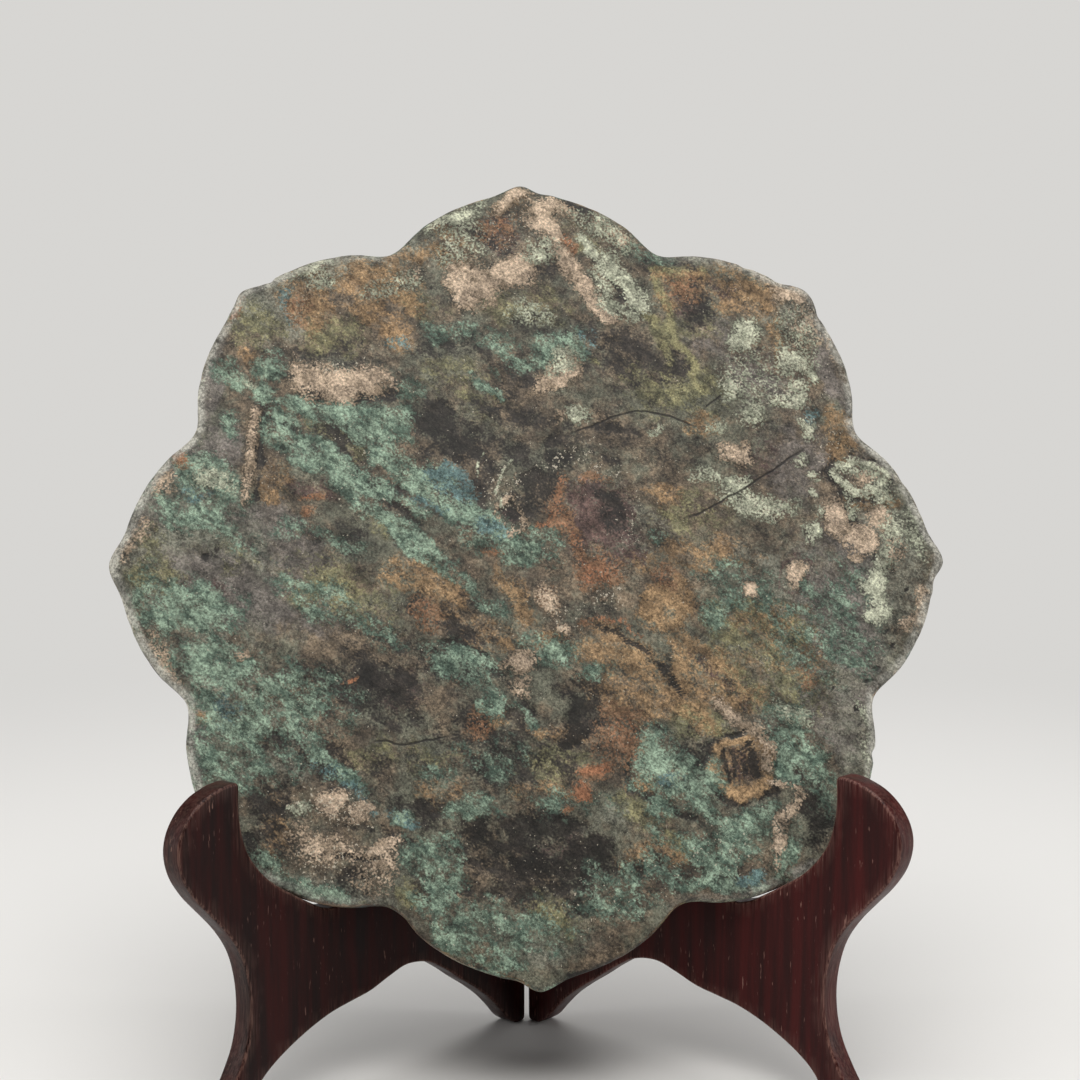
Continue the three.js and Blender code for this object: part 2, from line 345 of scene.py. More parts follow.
# %% Grid of the face
def face_grid():
    """Points and four-sided faces of the mirror's face, and its outermost ring in order of angle."""
    steps = np.arange(-FACE_RINGS, FACE_RINGS + 1)
    a, b = [part / FACE_RINGS for part in np.meshgrid(steps, steps, indexing="ij")]
    wide = np.abs(a) > np.abs(b)
    radius = np.where(wide, a, b)
    with np.errstate(divide="ignore", invalid="ignore"):
        angle = np.where(wide, math.pi / 4 * b / a, math.pi / 2 - math.pi / 4 * a / b)
    angle = np.nan_to_num(angle)
    x, y = radius * np.cos(angle), radius * np.sin(angle)
    round_r = np.hypot(x, y) * (TIP_R - FACE_EDGE)
    true_angle = np.arctan2(y, x)
    r = petal_shaped(round_r, true_angle)
    height = FACE_CAMBER * (1 - (round_r / TIP_R) ** 2)
    spread = (r * np.cos(true_angle), r * np.sin(true_angle), height)
    points = np.column_stack([part.ravel() for part in spread])
    side = 2 * FACE_RINGS + 1
    index = np.arange(side * side).reshape(side, side)
    corners = (index[:-1, :-1], index[1:, :-1], index[1:, 1:], index[:-1, 1:])
    quads = np.column_stack([corner.ravel() for corner in corners])
    border = np.unique(np.concatenate([index[0], index[-1], index[:, 0], index[:, -1]]))
    turn = np.mod(true_angle.ravel()[border] + 1e-9, 2 * math.pi)
    return points, quads.tolist(), border[np.argsort(turn)]


print("the face has", len(face_grid()[1]), "four-sided cells")

# %% Rings from the edge to the knob
def knob_section():
    """From the plate to the top of the knob, as (radius, height)."""
    turns = np.linspace(math.radians(6), math.radians(85), 14)
    top = KNOB_HEIGHT + 1
    return [(KNOB_R * math.cos(t), 1 - PLATE_DEPTH - top * math.sin(t)) for t in turns]


def mirror_casting():
    """The clean casting as one closed mesh, in millimetres: x and y over the face, z towards the viewer."""
    points, faces, ring = face_grid()
    points = [points]
    total = len(points[0])
    ring = list(ring)
    ring_low, ring_high = RING_R - 1.5, RING_R + 1.5
    back = [(r, -PLATE_DEPTH) for r in (113, 107, 101, 95, 89, 83, 78, 74, 71.6)]
    # The raised ring: down one side, along its top and up the other, as (radius, how proud of the plate).
    raised = [(ring_high + 1, 0.15), (ring_high + 0.2, 1.05), (ring_high - 0.5, 1.2)]
    raised += [(ring_low + 0.5, 1.2), (ring_low - 0.2, 1.05), (ring_low - 1, 0.15)]
    back += [(r, -PLATE_DEPTH - proud) for r, proud in raised]
    back += [(r, -PLATE_DEPTH) for r in (64, 59, 54, 49, 44, 39, 34, 29, 24, 20, 17)]
    back += [(15.6, -PLATE_DEPTH - 0.1)]
    back += knob_section()
    sections = [(TIP_R - inside, height, EDGE_POINTS) for inside, height in EDGE_SECTION]
    sections += [(radius, height, BACK_POINTS) for radius, height in back]
    for radius, height, count in sections:
        points.append(ring_points(radius, height, count))
        new_ring = list(range(total, total + count))
        total += count
        ratio = len(ring) // count
        for i in range(count):
            j = (i + 1) % count
            outer = [ring[(i * ratio + k) % len(ring)] for k in range(ratio + 1)]
            if ratio == 1:
                faces.append([outer[0], new_ring[i], new_ring[j], outer[1]])
            else:
                middle = ratio // 2
                faces += [[outer[k + 1], outer[k], new_ring[i]] for k in range(middle)]
                faces += [[outer[k + 1], outer[k], new_ring[j]] for k in range(middle, ratio)]
                faces.append([outer[middle], new_ring[i], new_ring[j]])
        ring = new_ring
    points.append(np.array([[0, 0, 1 - PLATE_DEPTH - KNOB_HEIGHT - 1.0]]))
    faces += [[ring[i], total, ring[(i + 1) % len(ring)]] for i in range(len(ring))]
    return closed_mesh("mirror_casting", np.concatenate(points).tolist(), faces)


print("the knob rises in", len(knob_section()), "rings")

# %% Cast the mirror and drill its knob
def cut_away(piece, cutters):
    """Cuts the cutters out of a closed piece and removes them."""
    for cutter in cutters:
        cut = piece.modifiers.new("cut", "BOOLEAN")
        cut.object = cutter
        cut.operation = "DIFFERENCE"
        cut.solver = "MANIFOLD"
        bpy.context.view_layer.objects.active = piece
        bpy.ops.object.modifier_apply(modifier=cut.name)
        bpy.data.objects.remove(cutter)
    piece.data.materials.clear()


mirror = bpy.data.objects.new("bronze_mirror", mirror_casting())
scene.collection.objects.link(mirror)
bpy.ops.mesh.primitive_cylinder_add(
    vertices=48, radius=CORD_HOLE_R, depth=4 * KNOB_R,
    location=(0, 0, -PLATE_DEPTH - CORD_HOLE_HEIGHT), rotation=(0, math.pi / 2, 0),
)
cord_hole = bpy.context.object
cord_hole.data.transform(cord_hole.matrix_world)
cord_hole.matrix_world = Matrix.Identity(4)
cut_away(mirror, [cord_hole])
print("casting:", len(mirror.data.vertices), "points,", triangles_in(mirror.data), "triangles")

# %% [markdown]
# ## The two boards of the stand
# Each board was sawn from one plank of dense dark hardwood: a foot with a low arch, a hook in front that
# holds the mirror's rim, and an upright that it leans on. The outline is drawn once, as points and arcs
# measured forward from the hinge and up from the ground, and both boards use it. The arrises are rounded
# with a file, which is done here with a few narrow rings round the outline, and the flat sides get a net
# of small triangles so that they can be a little uneven. A bevel modifier would also round the arrises,
# but it would not leave the points that tell the wood's finish where its edges are.

# %% Sizes of a board, and its curves
WING_TURN = math.radians(45)
WING_THICK = 7.8
WING_START = 0.35
WING_TOP = 196
ARRIS = 0.9
SIDE_NET = 3.2
HINGE_Y = face_middle_y + 31


def through(points, steps):
    """A smooth curve through points, by Catmull and Rom's rule, without its first point."""
    padded = [points[0], *points, points[-1]]
    curve = []
    for a, b, c, d in zip(padded, padded[1:], padded[2:], padded[3:]):
        a, b, c, d = (np.array(p, float) for p in (a, b, c, d))
        for i in range(1, steps + 1):
            t = i / steps
            out, back = (c - a) / 2, (d - b) / 2
            cubed, squared = 2 * b - 2 * c + out + back, 3 * c - 3 * b - 2 * out - back
            curve.append(cubed * t**3 + squared * t**2 + out * t + b)
    return curve


def arc(start, corner, end, steps):
    """A rounded corner: a curve that leaves start towards corner and arrives at end from it."""
    start, corner, end = (np.array(p, float) for p in (start, corner, end))
    shares = np.arange(1, steps + 1) / steps
    return [start * (1 - t)**2 + 2 * corner * t * (1 - t) + end * t**2 for t in shares]


print("a rounded corner takes", len(arc((0, 1), (0, 0), (1, 0), 4)), "points")

# %% The sawn outline
def board_outline():
    rear_foot = arc((WING_START, 2), (WING_START, 0), (WING_START + 1.6, 0), 4) + [(4.8, 0)]
    foot_arch = through([
        (4.8, 0), (8.6, 2.4), (12.4, 6.5), (17.3, 11.3), (23.5, 16), (30, 20.3), (37, 25.2), (45, 29.6),
        (54, 31), (62, 29), (70, 26.3), (78, 24.9), (86, 23.4), (94, 20.8), (102, 17.2),
        (108.5, 13.5), (113.3, 9.6), (116.2, 5.2), (117.1, 2.2),
    ], 5)
    toe = arc((117.1, 2.2), (117.3, 0), (119.6, 0), 4) + [(123.5, 0), (127.4, 0)]
    toe += arc((127.4, 0), (132.9, 0.2), (129.5, 3.6), 8)
    hook_front = through([
        (129.5, 3.6), (126, 7.2), (122.2, 13.2), (119, 19.8), (117.3, 27), (117, 34.5), (118.1, 42),
        (120.6, 49.2), (125, 55.8), (130.6, 61.8), (136.1, 67.6), (140.3, 73.9),
        (142, 80.5), (141, 86.4), (137.6, 91.7), (132.6, 95.6), (127, 97.8),
    ], 5)
    hook_end = arc((127, 97.8), (123.5, 98.7), (121.2, 98.5), 4)
    hook_end += arc((121.2, 98.5), (120.1, 98.2), (120.2, 96.4), 4)
    notch = through([
        (120.2, 96.4), (120.3, 90.5), (119.5, 84.4), (117.3, 77.8), (113.2, 72), (107.8, 67), (101.8, 63.2),
        (95.4, 59.4), (89, 56.2), (83.6, 55.6), (79.6, 59),
    ], 5)
    upright = through([
        (79.6, 59), (76.6, 65), (73.6, 74), (69.4, 85), (63.8, 98), (57, 112), (49.4, 127), (41.4, 143),
        (33.6, 159), (27.4, 174), (22, 185.6), (19, 191),
    ], 6)
    top = arc((19, 191), (16, WING_TOP), (9.5, WING_TOP), 6)
    back_corner = arc((9.5, WING_TOP), (WING_START, WING_TOP), (WING_START, WING_TOP - 9), 6)
    back_edge = [(WING_START, z) for z in np.linspace(WING_TOP - 9, 2, 60)[1:]]
    front = [*rear_foot, *foot_arch, *toe, *hook_front, *hook_end]
    outline = [*front, *notch, *upright, *top, *back_corner, *back_edge]
    return np.array([tuple(p) for p in outline])


def inward(outline):
    """At each point of a closed outline, the unit step towards the wood."""
    along = np.roll(outline, -1, axis=0) - np.roll(outline, 1, axis=0)
    along /= np.linalg.norm(along, axis=1)[:, None]
    return np.column_stack([-along[:, 1], along[:, 0]])


print("a board's outline has", len(board_outline()), "points")

# %% [markdown]
# ## From outline to board
# The sawn outline becomes a solid board in three moves: rings of points that turn over each arris as a
# file would round it, a net of triangles on either flat side, and a slight unevenness so that light does
# not lie on it as on glass. Extruding the outline would be shorter but would leave knife-sharp edges.

# %% A net for the flat sides
def side_net(outline):
    """Fills an outline with a net of small triangles. Its first points are the outline's own."""
    low, high = outline.min(0), outline.max(0)
    grid = [
        Vector((x + (row % 2) * SIDE_NET / 2, y))
        for row, y in enumerate(np.arange(low[1], high[1], SIDE_NET * 0.87))
        for x in np.arange(low[0], high[0], SIDE_NET)
    ]
    border = [Vector(p) for p in outline]
    clear = [p for p in grid if min((p - q).length_squared for q in border) > (0.6 * SIDE_NET) ** 2]
    loop = [list(range(len(border)))]
    points, _, faces, _, _, _ = delaunay_2d_cdt(border + clear, [], loop, 1, 1e-6)
    return np.array([tuple(p) for p in points]), [list(f) for f in faces]


print("flat sides get a net of", SIDE_NET, "mm")

# %% A board with filed arrises
def board_mesh(name, side):
    """One board in the row's frame, in metres, with an attribute that is 1 on its arrises."""
    outline = board_outline()
    step_in = inward(outline)
    turns = np.linspace(0, math.pi / 2, 5)
    # from the inner face round the outline to the outer face: (distance inside the outline, across)
    section = [(ARRIS * (1 - math.sin(t)), ARRIS * (1 - math.cos(t))) for t in turns]
    section += [(0, across) for across in np.linspace(ARRIS, WING_THICK - ARRIS, 4)[1:-1]]
    section += [(inside, WING_THICK - across) for inside, across in reversed(section[:5])]
    net, net_faces = side_net(outline + step_in * ARRIS)
    count = len(outline)
    points, faces, worn = [], [], []
    for inside, across in section:
        ring = outline + step_in * inside
        points += [(s, z, across) for s, z in ring]
        # The arrises get a paler colour, and the whole edge a little of it: partly wear, partly a painted
        # highlight along each arris.
        worn += [1.0 if 0 < inside < ARRIS else 0.35] * count
    for ring in range(len(section) - 1):
        here, there = ring * count, (ring + 1) * count
        for i in range(count):
            j = (i + 1) % count
            faces.append([here + i, here + j, there + j, there + i])
    for across, first_ring in ((0, 0), (WING_THICK, (len(section) - 1) * count)):
        start = len(points) - count
        points += [(s, z, across) for s, z in net[count:]]
        worn += [0.0] * (len(net) - count)
        faces += [[first_ring + i if i < count else start + i for i in face] for face in net_faces]
    points = np.array(points)
    uneven = cloud(points[:, 0] + 400 * side, points[:, 1], 26, 11, 3) - 0.5
    points[:, 2] += np.where(points[:, 2] < WING_THICK / 2, 1, -1) * 0.22 * (uneven + 0.5)
    turned = np.column_stack([
        side * (points[:, 0] * math.sin(WING_TURN) + points[:, 2] * math.cos(WING_TURN)),
        HINGE_Y - points[:, 0] * math.cos(WING_TURN) + points[:, 2] * math.sin(WING_TURN),
        points[:, 1],
    ]) * MM
    low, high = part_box(name)
    turned = np.clip(turned, low, high)
    mesh = closed_mesh(name + "_board", turned.tolist(), faces)
    mark(mesh, "arris_wear_and_highlight", worn)
    return mesh


print("arrises are rounded to", ARRIS, "mm")

# %% [markdown]
# The hinges are let into the back edges of the boards. Each bed is a shallow block cut where the hinge's
# leaf lies, a round groove for its barrel, and a drilled hole for each screw. Their places come from the
# hinges' own boxes, so the wood always fits the brass.

# %% Hinge beds
BED_GAP = 0.3
LEAF_THICK = 1.0
LEAF_TO = 6.4
BARREL_R = 2.2
SCREW_R = 0.7
SCREW_LENGTH = 7
SCREW_ACROSS = 4.55  # from the hinge's pin across the board
SCREW_RISE = 9  # above and below the hinge's middle


def bed_cutters(which, side):
    """A block for the leaf, a post for the barrel and drills for the screws, turned to lie with a board."""
    low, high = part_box(f"hinge_{which}_pin")
    pin_middle = (low + high) / 2
    half = (high.z - low.z) / 2 + BED_GAP * MM
    forward = Vector((side * math.sin(WING_TURN), -math.cos(WING_TURN), 0))
    across = Vector((side * math.cos(WING_TURN), math.sin(WING_TURN), 0))
    # The two boards are mirror images. Turning `up` over with the side keeps each cutter right side out.
    up = Vector((0, 0, side))
    deep = WING_START + LEAF_THICK + BED_GAP
    wide = LEAF_TO + BED_GAP
    bpy.ops.mesh.primitive_cube_add(size=1)
    bed = bpy.context.object
    centre = pin_middle + forward * (deep - 2) / 2 * MM + across * (wide - 2) / 2 * MM
    axes = Matrix((forward, across, up)).transposed().to_4x4()
    size = Matrix.Diagonal(((deep + 2) * MM, (wide + 2) * MM, 2 * half - 2 * 0.6 * MM, 1))
    bed.data.transform(Matrix.Translation(centre) @ axes @ size)
    bpy.ops.mesh.primitive_cylinder_add(vertices=32, radius=(BARREL_R + BED_GAP) * MM, depth=2 * half)
    groove = bpy.context.object
    groove.data.transform(Matrix.Translation(pin_middle))
    cutters = [bed, groove]
    drill_from, drill_to = -2, WING_START + SCREW_LENGTH + BED_GAP
    for rise in (-SCREW_RISE, SCREW_RISE):
        bpy.ops.mesh.primitive_cylinder_add(
            vertices=24, radius=(SCREW_R + BED_GAP) * MM, depth=(drill_to - drill_from) * MM)
        drill = bpy.context.object
        middle = forward * (drill_from + drill_to) / 2 + across * SCREW_ACROSS + Vector((0, 0, rise))
        drill_axes = Matrix((across, up, forward)).transposed().to_4x4()
        drill.data.transform(Matrix.Translation(pin_middle + middle * MM) @ drill_axes)
        cutters.append(drill)
    return cutters


print("a bed leaves", BED_GAP, "mm round the brass")

# %% Both boards, each in its place
boards = {}
for hand, side in (("left", -1), ("right", 1)):
    node = f"stand_wing_{hand}"
    board = bpy.data.objects.new(f"{hand}_board", board_mesh(node, side))
    scene.collection.objects.link(board)
    cut_away(board, [cutter for which in ("lower", "upper") for cutter in bed_cutters(which, side)])
    board.data.polygons.foreach_set("use_smooth", [True] * len(board.data.polygons))
    board.data.set_sharp_from_angle(angle=math.radians(42))
    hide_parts(node)
    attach(board, "root")
    boards[hand] = board
    print(node, triangles_in(board.data), "triangles")

# %% [markdown]
# ## Where the corrosion lies
# Buried bronze does not turn one colour. Water draws blue-green verdigris down in slanting bands, and here
# and there it goes to azure. Iron in the soil leaves ochre and rust, cuprite shows as a dull red brown, a
# thin bloom veils the metal grey, lime and mint-pale crusts settle last, and soot-dark places are eaten
# away. Where the skin of tin survives the metal is a smooth mauve grey. Each finish below is a list of
# the places where it lies on the face: spots, given as (across, up, half length, half width, turn
# in degrees, how thick), and streaks, given as (points, width, how thick). Rings are streaks that close,
# and specks are clusters of white grains. One painted sheet could hold all this, but a few numbers for
# each place keep every patch easy to move, and the fine broken edges come from the material.

# %% A helper that keeps the places
SPOTS, STREAKS = {}, {}


def lay(finish, spots, streaks=()):
    """Keeps where a finish lies, in millimetres from the middle of the face."""
    SPOTS[finish], STREAKS[finish] = spots, list(streaks)
    print(finish, "lies in", len(spots), "spots and", len(streaks), "streaks")


print("a place is given as across, up, half length, half width, turn in degrees, how thick")

# %% Verdigris
lay("verdigris", [
    (-92, 61, 9, 4, -35, .9), (-84, 56, 5, 3, -20, .9), (-82, 64, 4, 5, 0, .7),
    (-93, 45, 4, 5, 0, .6), (-78, 44, 10, 4, -30, .8), (-71, 51, 12, 4, -10, .9),
    (-100, 28, 13, 7, -45, .9), (-103, 15, 19, 6, -25, .8), (-45, 45, 10, 7, -20, .8),
    (-28, 27, 9, 5, -35, .85), (-38, 56, 6, 4, 0, .6), (-20, 76, 15, 4, -8, .6),
    (-4, 67, 8, 6, 0, .5), (8, 70, 10, 6, 25, .8), (15, 74, 6, 3, -40, .7),
    (-106, -15, 17, 10, -12, .9), (-98, -32, 18, 12, -20, .6), (-74, -44, 20, 13, -8, .55),
    (-84, -60, 14, 10, 0, .5), (-66, -10, 18, 7, -30, .55), (-50, -20, 12, 5, -30, .5),
    (-118, -6, 8, 6, 0, .6), (-95, -33, 15, 8, -10, .85), (-88, -48, 16, 13, 0, .8),
    (-72, -38, 12, 7, 0, .7), (-95, -62, 9, 8, 0, .7), (-22, -33, 14, 6, -30, .85),
    (-12, -47, 4, 4, 0, .8), (-25, -3, 11, 4, -40, .7), (-14, -14, 10, 3, -50, .7),
    (-2, 4, 6, 4, 0, .7), (-12, 8, 12, 6, -20, .7), (4, 8, 6, 5, 0, .7), (-78, -93, 8, 4, -45, .9),
    (-64, -101, 14, 4, -12, .95), (-41, -77.6, 2.8, 2.8, 0, 1), (-70, -98, 7, 3, -20, .9),
    (-60, -65, 14, 4, -30, .7), (-35, -90, 7, 4, 20, .8), (-20, -77, 9, 4, 0, .7),
    (-32, -90, 10, 8, -20, .7), (-30, -101, 8, 9, 0, .65), (-24, -113, 8, 7, -30, .75),
    (-12, -121, 10, 3, -15, .85), (5, -28, 9, 5, -20, .7), (17, -36, 6, 3, 20, .7),
    (37, -63, 9, 10, 0, 1), (46, -70, 9, 8, 0, .9), (36, -78, 7, 3, -10, .9), (58, -17, 6, 5, 0, .7),
    (92, -20, 18, 20, -20, .5), (70, -12, 18, 9, -25, .45), (-8, -112, 22, 9, 0, .55),
    (26, -100, 18, 8, 10, .5), (50, -92, 20, 9, 0, .5), (8, -75, 18, 6, 0, .36),
    (-18, -62, 20, 8, 0, .34), (39, 8, 3.4, 3.4, 0, .7), (7, 3, 4, 5, 0, .6),
    (80, -58, 8, 14, 10, .8), (86, -68, 5, 12, 0, .7), (66, -80, 7, 4, 0, .9),
    (55, -87, 12, 6, 0, .75), (54, -96, 8, 5, -20, .85), (64, -97, 3, 3, 0, 1),
    (58, -101, 20, 2.5, 0, .9), (74, -90, 4, 8, 0, .75), (37, -84, 5, 5, 0, .7),
    (18, -103, 7, 3, 0, .8), (28, -106, 5, 3, 0, .6), (-3, -48, 5, 2, -20, .7),
    (62, -5, 12, 6, -20, .45), (-60, 8, 10, 4, -25, .6), (-72, 12, 8, 4, 0, .5),
    (40, 105, 10, 4, -20, .5),
], [
    ([(-72, 37), (-60, 28), (-48, 17), (-38, 8), (-28, -2)], 7, .9), ([(-18, 62), (-8, 54)], 3, .8),
    ([(-62, 50), (-48, 42), (-35, 28), (-22, 16), (-8, 6)], 11, .85),
    ([(-56, 31), (-44, 24), (-33, 16)], 6, .9), ([(-80, 48), (-70, 42), (-64, 36)], 5, .8),
    ([(46, -62), (50, -78), (62, -84)], 5, .7),
])

# %% Olive
lay("olive", [
    (-62, 76, 10, 6, 0, .9), (-62, 42, 8, 3, -30, .9), (-54, 37, 6, 3, -30, .8),
    (-118, -3, 7, 5, 0, .8), (-120, 10, 8, 5, -50, .6), (-60, -8, 18, 9, -28, .85),
    (-112, -4, 7, 4, -40, .9), (-48, -18, 8, 4, -30, .6), (45, 58, 16, 10, -10, .7),
    (56, 80, 8, 8, 0, .4), (50, -50, 8, 5, -10, .9), (70, -28, 17, 14, 0, .6),
    (65, -17, 8, 4, -10, .8), (4, -108, 9, 6, -30, .9), (-38, -103, 3, 5, 20, .95),
    (-50, -104, 3, 1.8, 0, .95), (42, -88, 7, 4, -5, .9), (30, -77, 12, 5, -20, .65),
    (0, 86, 15, 8, 0, .6), (-89, 79, 12, 8, -20, .7), (50, 14, 13, 8, 20, .55),
    (80, -42, 15, 8, 0, .55), (-34, 84, 8, 5, 0, .6), (5, -62, 14, 7, 0, .6),
    (-40, -60, 16, 6, 0, .5), (-20, 58, 16, 8, -30, .4), (15, 108, 10, 5, -30, .4),
    (-90, 2, 8, 5, 0, .5), (-45, 12, 8, 4, -30, .5),
], [
    ([(20, 70), (25, 65)], 1.5, .8), ([(36, 84), (43, 76), (46, 71)], 4, 1.1),
    ([(42, 99), (50, 98), (58, 97)], 3.4, 1.1),
    ([(43, 97), (45, 86), (47, 77), (52, 68), (54, 61)], 3.6, 1.2),
    ([(46, 77), (45, 69), (44, 62)], 3, 1.1),
])

# %% Earth
lay("earth", [
    (-50, 95, 10, 9, 0, .9), (-52, 85, 6, 5, 0, .95), (-70, 89, 8, 12, 10, .7),
    (-40, 103, 8, 4, -10, .8), (-38, 87, 8, 5, -10, .7), (-42, 76, 4, 8, 30, .7),
    (-27, 107, 8, 5, -20, .6), (-79.5, 27.5, 6, 8.5, 0, .62), (-88, 68, 4, 3, -40, .6),
    (45, 97, 4, 3, 0, .9), (53, 94, 7, 5, 0, .8), (71, 91, 11, 9, -10, .7), (66, 86, 4, 5, 0, .75),
    (81, 77, 2.5, 10, 0, .8), (45, 88, 4, 5, 0, .65), (99, 40, 5, 9, -10, .9),
    (56, 45, 6, 4, -30, .7), (42, 22, 7, 4, -30, .6), (113, 20, 4, 3, 0, .7),
    (42.4, -13.4, 9, 8, 0, .8), (40, 2, 13, 4, 10, .5), (56, 2, 14, 5, 0, .6),
    (-35, -8, 13, 4, -25, .8), (-20, -20, 11, 5, -40, .6), (-4, -13, 4, 12, 20, .8),
    (50, -34, 13, 9, -20, .75), (30, -44, 12, 8, 0, .7), (10, -27, 13, 4, -15, .7),
    (8, -53, 11, 2, -8, .9), (3, -71, 9, 2.5, 0, .8), (32, -70, 8, 3, -20, .7),
    (62.5, -64.5, 9, 8, 0, .9), (-28, -71, 8, 4, 0, .65), (-15, -50, 6, 4, 0, .6),
    (-78, -80, 5, 11, 0, .6), (35, -91, 11, 5, 0, .6), (78, -28, 12, 9, 0, .5),
    (-98, -46, 4, 3, 0, .7), (62, -42, 10, 5, -20, .7), (30, -32, 16, 6, -25, .8),
    (74, -20, 12, 6, 0, .5), (-10, -24, 8, 4, -30, .6), (105, 20, 8, 4, 0, .4),
    (-5, 122, 8, 5, 10, .4),
], [
    ([(22, -24), (32, -33), (42, -42), (52, -50)], 7, .8), ([(-40, 0), (-28, -6), (-20, -16)], 6, .7),
])

# %% Rust
lay("rust", [
    (26, -54, 7, 9, -15, .66), (19.5, -64, 4.5, 2.6, 20, 1.25), (14, -71, 3.4, 3, 0, 1.3),
    (8, -77, 2.6, 1.2, 30, .95), (-55, -37.5, 2.1, 1.7, 0, 1.3), (-67, 22, 3, 1.4, 0, .75),
    (-68, 17, 1.4, 1.4, 0, .9), (-94, 84, 2, 7, -25, .85), (-8, 114, 8, 6, 0, .55),
    (84, -36, 3, 3, 0, .45), (-108, 34, 3, 1.5, 0, .9), (20, -3, 6, 5, 0, .85),
    (-12, 3, 3, 1.5, 0, .8), (10, 15, 4, 8, 0, .62), (18.5, -1.5, 5, 3.6, -35, .72),
    (40, -6, 5, 4, 0, .6), (-18, -51, 4, 4, 0, .6), (-32, -16, 8, 3, -30, .6), (51, 93, 5, 4, 0, .55),
    (-72, 86, 4, 6, 0, .5), (20, 26.5, 4, 2, 0, .65), (5, -10, 3, 6, 10, .5),
], [
    ([(11, 26), (10.5, 19), (7, 14), (11.8, 10), (14, 4.5), (18, -1.5), (23.4, -4)], 4.6, .68),
    ([(14, -19.2), (24, -20.5), (34, -23.6)], 2.8, .72), ([(12, 109), (16, 103)], 2.4, .85),
    ([(3, 13), (8, 12)], 2, .8),
])

# %% Cuprite
lay("cuprite", [
    (22, 13, 11, 12, 0, 1), (28, 3, 8, 4, 0, .7), (18, 20, 6, 6, 0, .85), (-5.5, 15, 3, 3, 0, .9),
    (62.5, -64.5, 7, 6, 0, .45), (-8, 112, 8, 6, 0, .7), (-101, -8, 9, 4, 0, .55),
    (-66, 24, 9, 3, -10, .6), (51, 87, 6, 6, 0, .55), (-40, -40, 10, 6, 0, .45),
    (72, 34, 10, 8, 0, .35), (8, -88, 12, 3, 0, .4), (62, 92, 8, 3, 0, .4),
], [
    ([(46, -30), (58, -38), (66, -46)], 3, .4),
])

# %% Azure
lay("azure", [
    (-23, 26, 8, 4, -30, .85), (-31, 19, 6, 3, -30, .6), (-76, 86, 1.5, 6, 0, .8),
    (-42, 74, 4, 2, 0, .5), (-12, 10, 6, 3, -20, .6), (64, -97, 4, 3, 0, .8),
    (-60, -66, 10, 2.5, -30, .5), (-40, -78, 5, 2.5, -30, .6), (-92, -46, 5, 6, 0, .4),
    (42, -70, 4, 4, 0, .5), (90, 47, 3, 4, 0, .5), (20, 74, 4, 3, 0, .5), (-104, 24, 5, 2, -40, .5),
], [
    ([(-64, -64), (-56, -70), (-48, -75)], 3, .7),
])

# %% Lime
lay("lime", [
    (-18, 93.5, 7.6, 10, 5, 1.15), (-5, 97.5, 9, 6.4, 0, 1.15), (-60, 60, 15, 7, -5, 1.15),
    (-74, 63, 4, 6, 0, .85), (-4, 124, 8, 4, 25, .95), (10, 121, 8, 3.4, -12, .95),
    (5, 115, 4, 8, 25, 1), (27, 112, 8, 4, -35, .7), (9, 62, 8, 4.6, 38, 1.1), (86, 91, 8, 4, 0, .85),
    (90, 79, 6, 9, 0, .6), (10, 47, 3, 3, 0, .6), (66, 35, 4.5, 5, 0, .95),
    (96.5, 14.3, 4.8, 6, 0, 1.2), (105.5, 27, 4, 3, 0, .75), (103, 7.6, 4.6, 4.4, 0, 1.1),
    (109, 14, 4.2, 4.6, 0, .95), (82, -4, 4.2, 4.8, 0, 1.1), (68, -10.6, 2.8, 3, 0, 1),
    (100.4, 1.8, 2, 1.8, 0, .9), (8.7, -21.3, 2.4, 2, 0, 1), (5, -11, 3, 6, 15, .72),
    (20.3, -12.4, 1.8, 1.6, 0, .9), (-5, -32, 7, 3, 0, .8), (67, -53, 4, 3, 0, .7),
    (-67, -87, 9, 5, -20, .62), (-47, -94, 6, 8, 0, .66), (-56, -87, 14, 4, -10, .6),
    (-60.5, -75, 4, 4, 0, .9), (-53, -78, 5, 1.6, 20, .9), (-46, -86, 6, 2, 10, .85),
    (-112, -30, 3, 10, 35, .7), (-122, 9, 3, 8, -30, .65), (-114, 26, 7, 4, 30, .65),
    (-5.5, 20, 3, 1.4, 0, .8), (-1, 14, 2, 3, 0, .85), (-5.5, 9.6, 2.6, 1.6, 0, .85),
    (120, -16, 2.5, 9, -18, .85), (-70, 92, 5, 5, 0, .45), (-38, 96, 6, 4, 0, .5),
    (-4, -40, 5, 4, 0, .6), (114, 4, 5, 7, 0, .55), (98, 78, 3, 9, 15, .5), (-88, -29, 3, 2, 0, .7),
], [
    ([(3, 118), (9, 109), (14, 101)], 5, 1), ([(15, 99), (19, 91), (26, 82)], 6, .9),
    ([(-4, 30), (-3.4, 24)], .8, .6), ([(-55, -77), (-48, -73)], 3, .85),
    ([(57, -43.5), (62, -49.5), (68, -53.4), (71.7, -58.7), (72.4, -64)], 4.4, .72),
    ([(72, -70), (79, -71.8), (77.6, -78.4), (72.6, -83.7), (71.7, -93)], 3.6, .72),
])

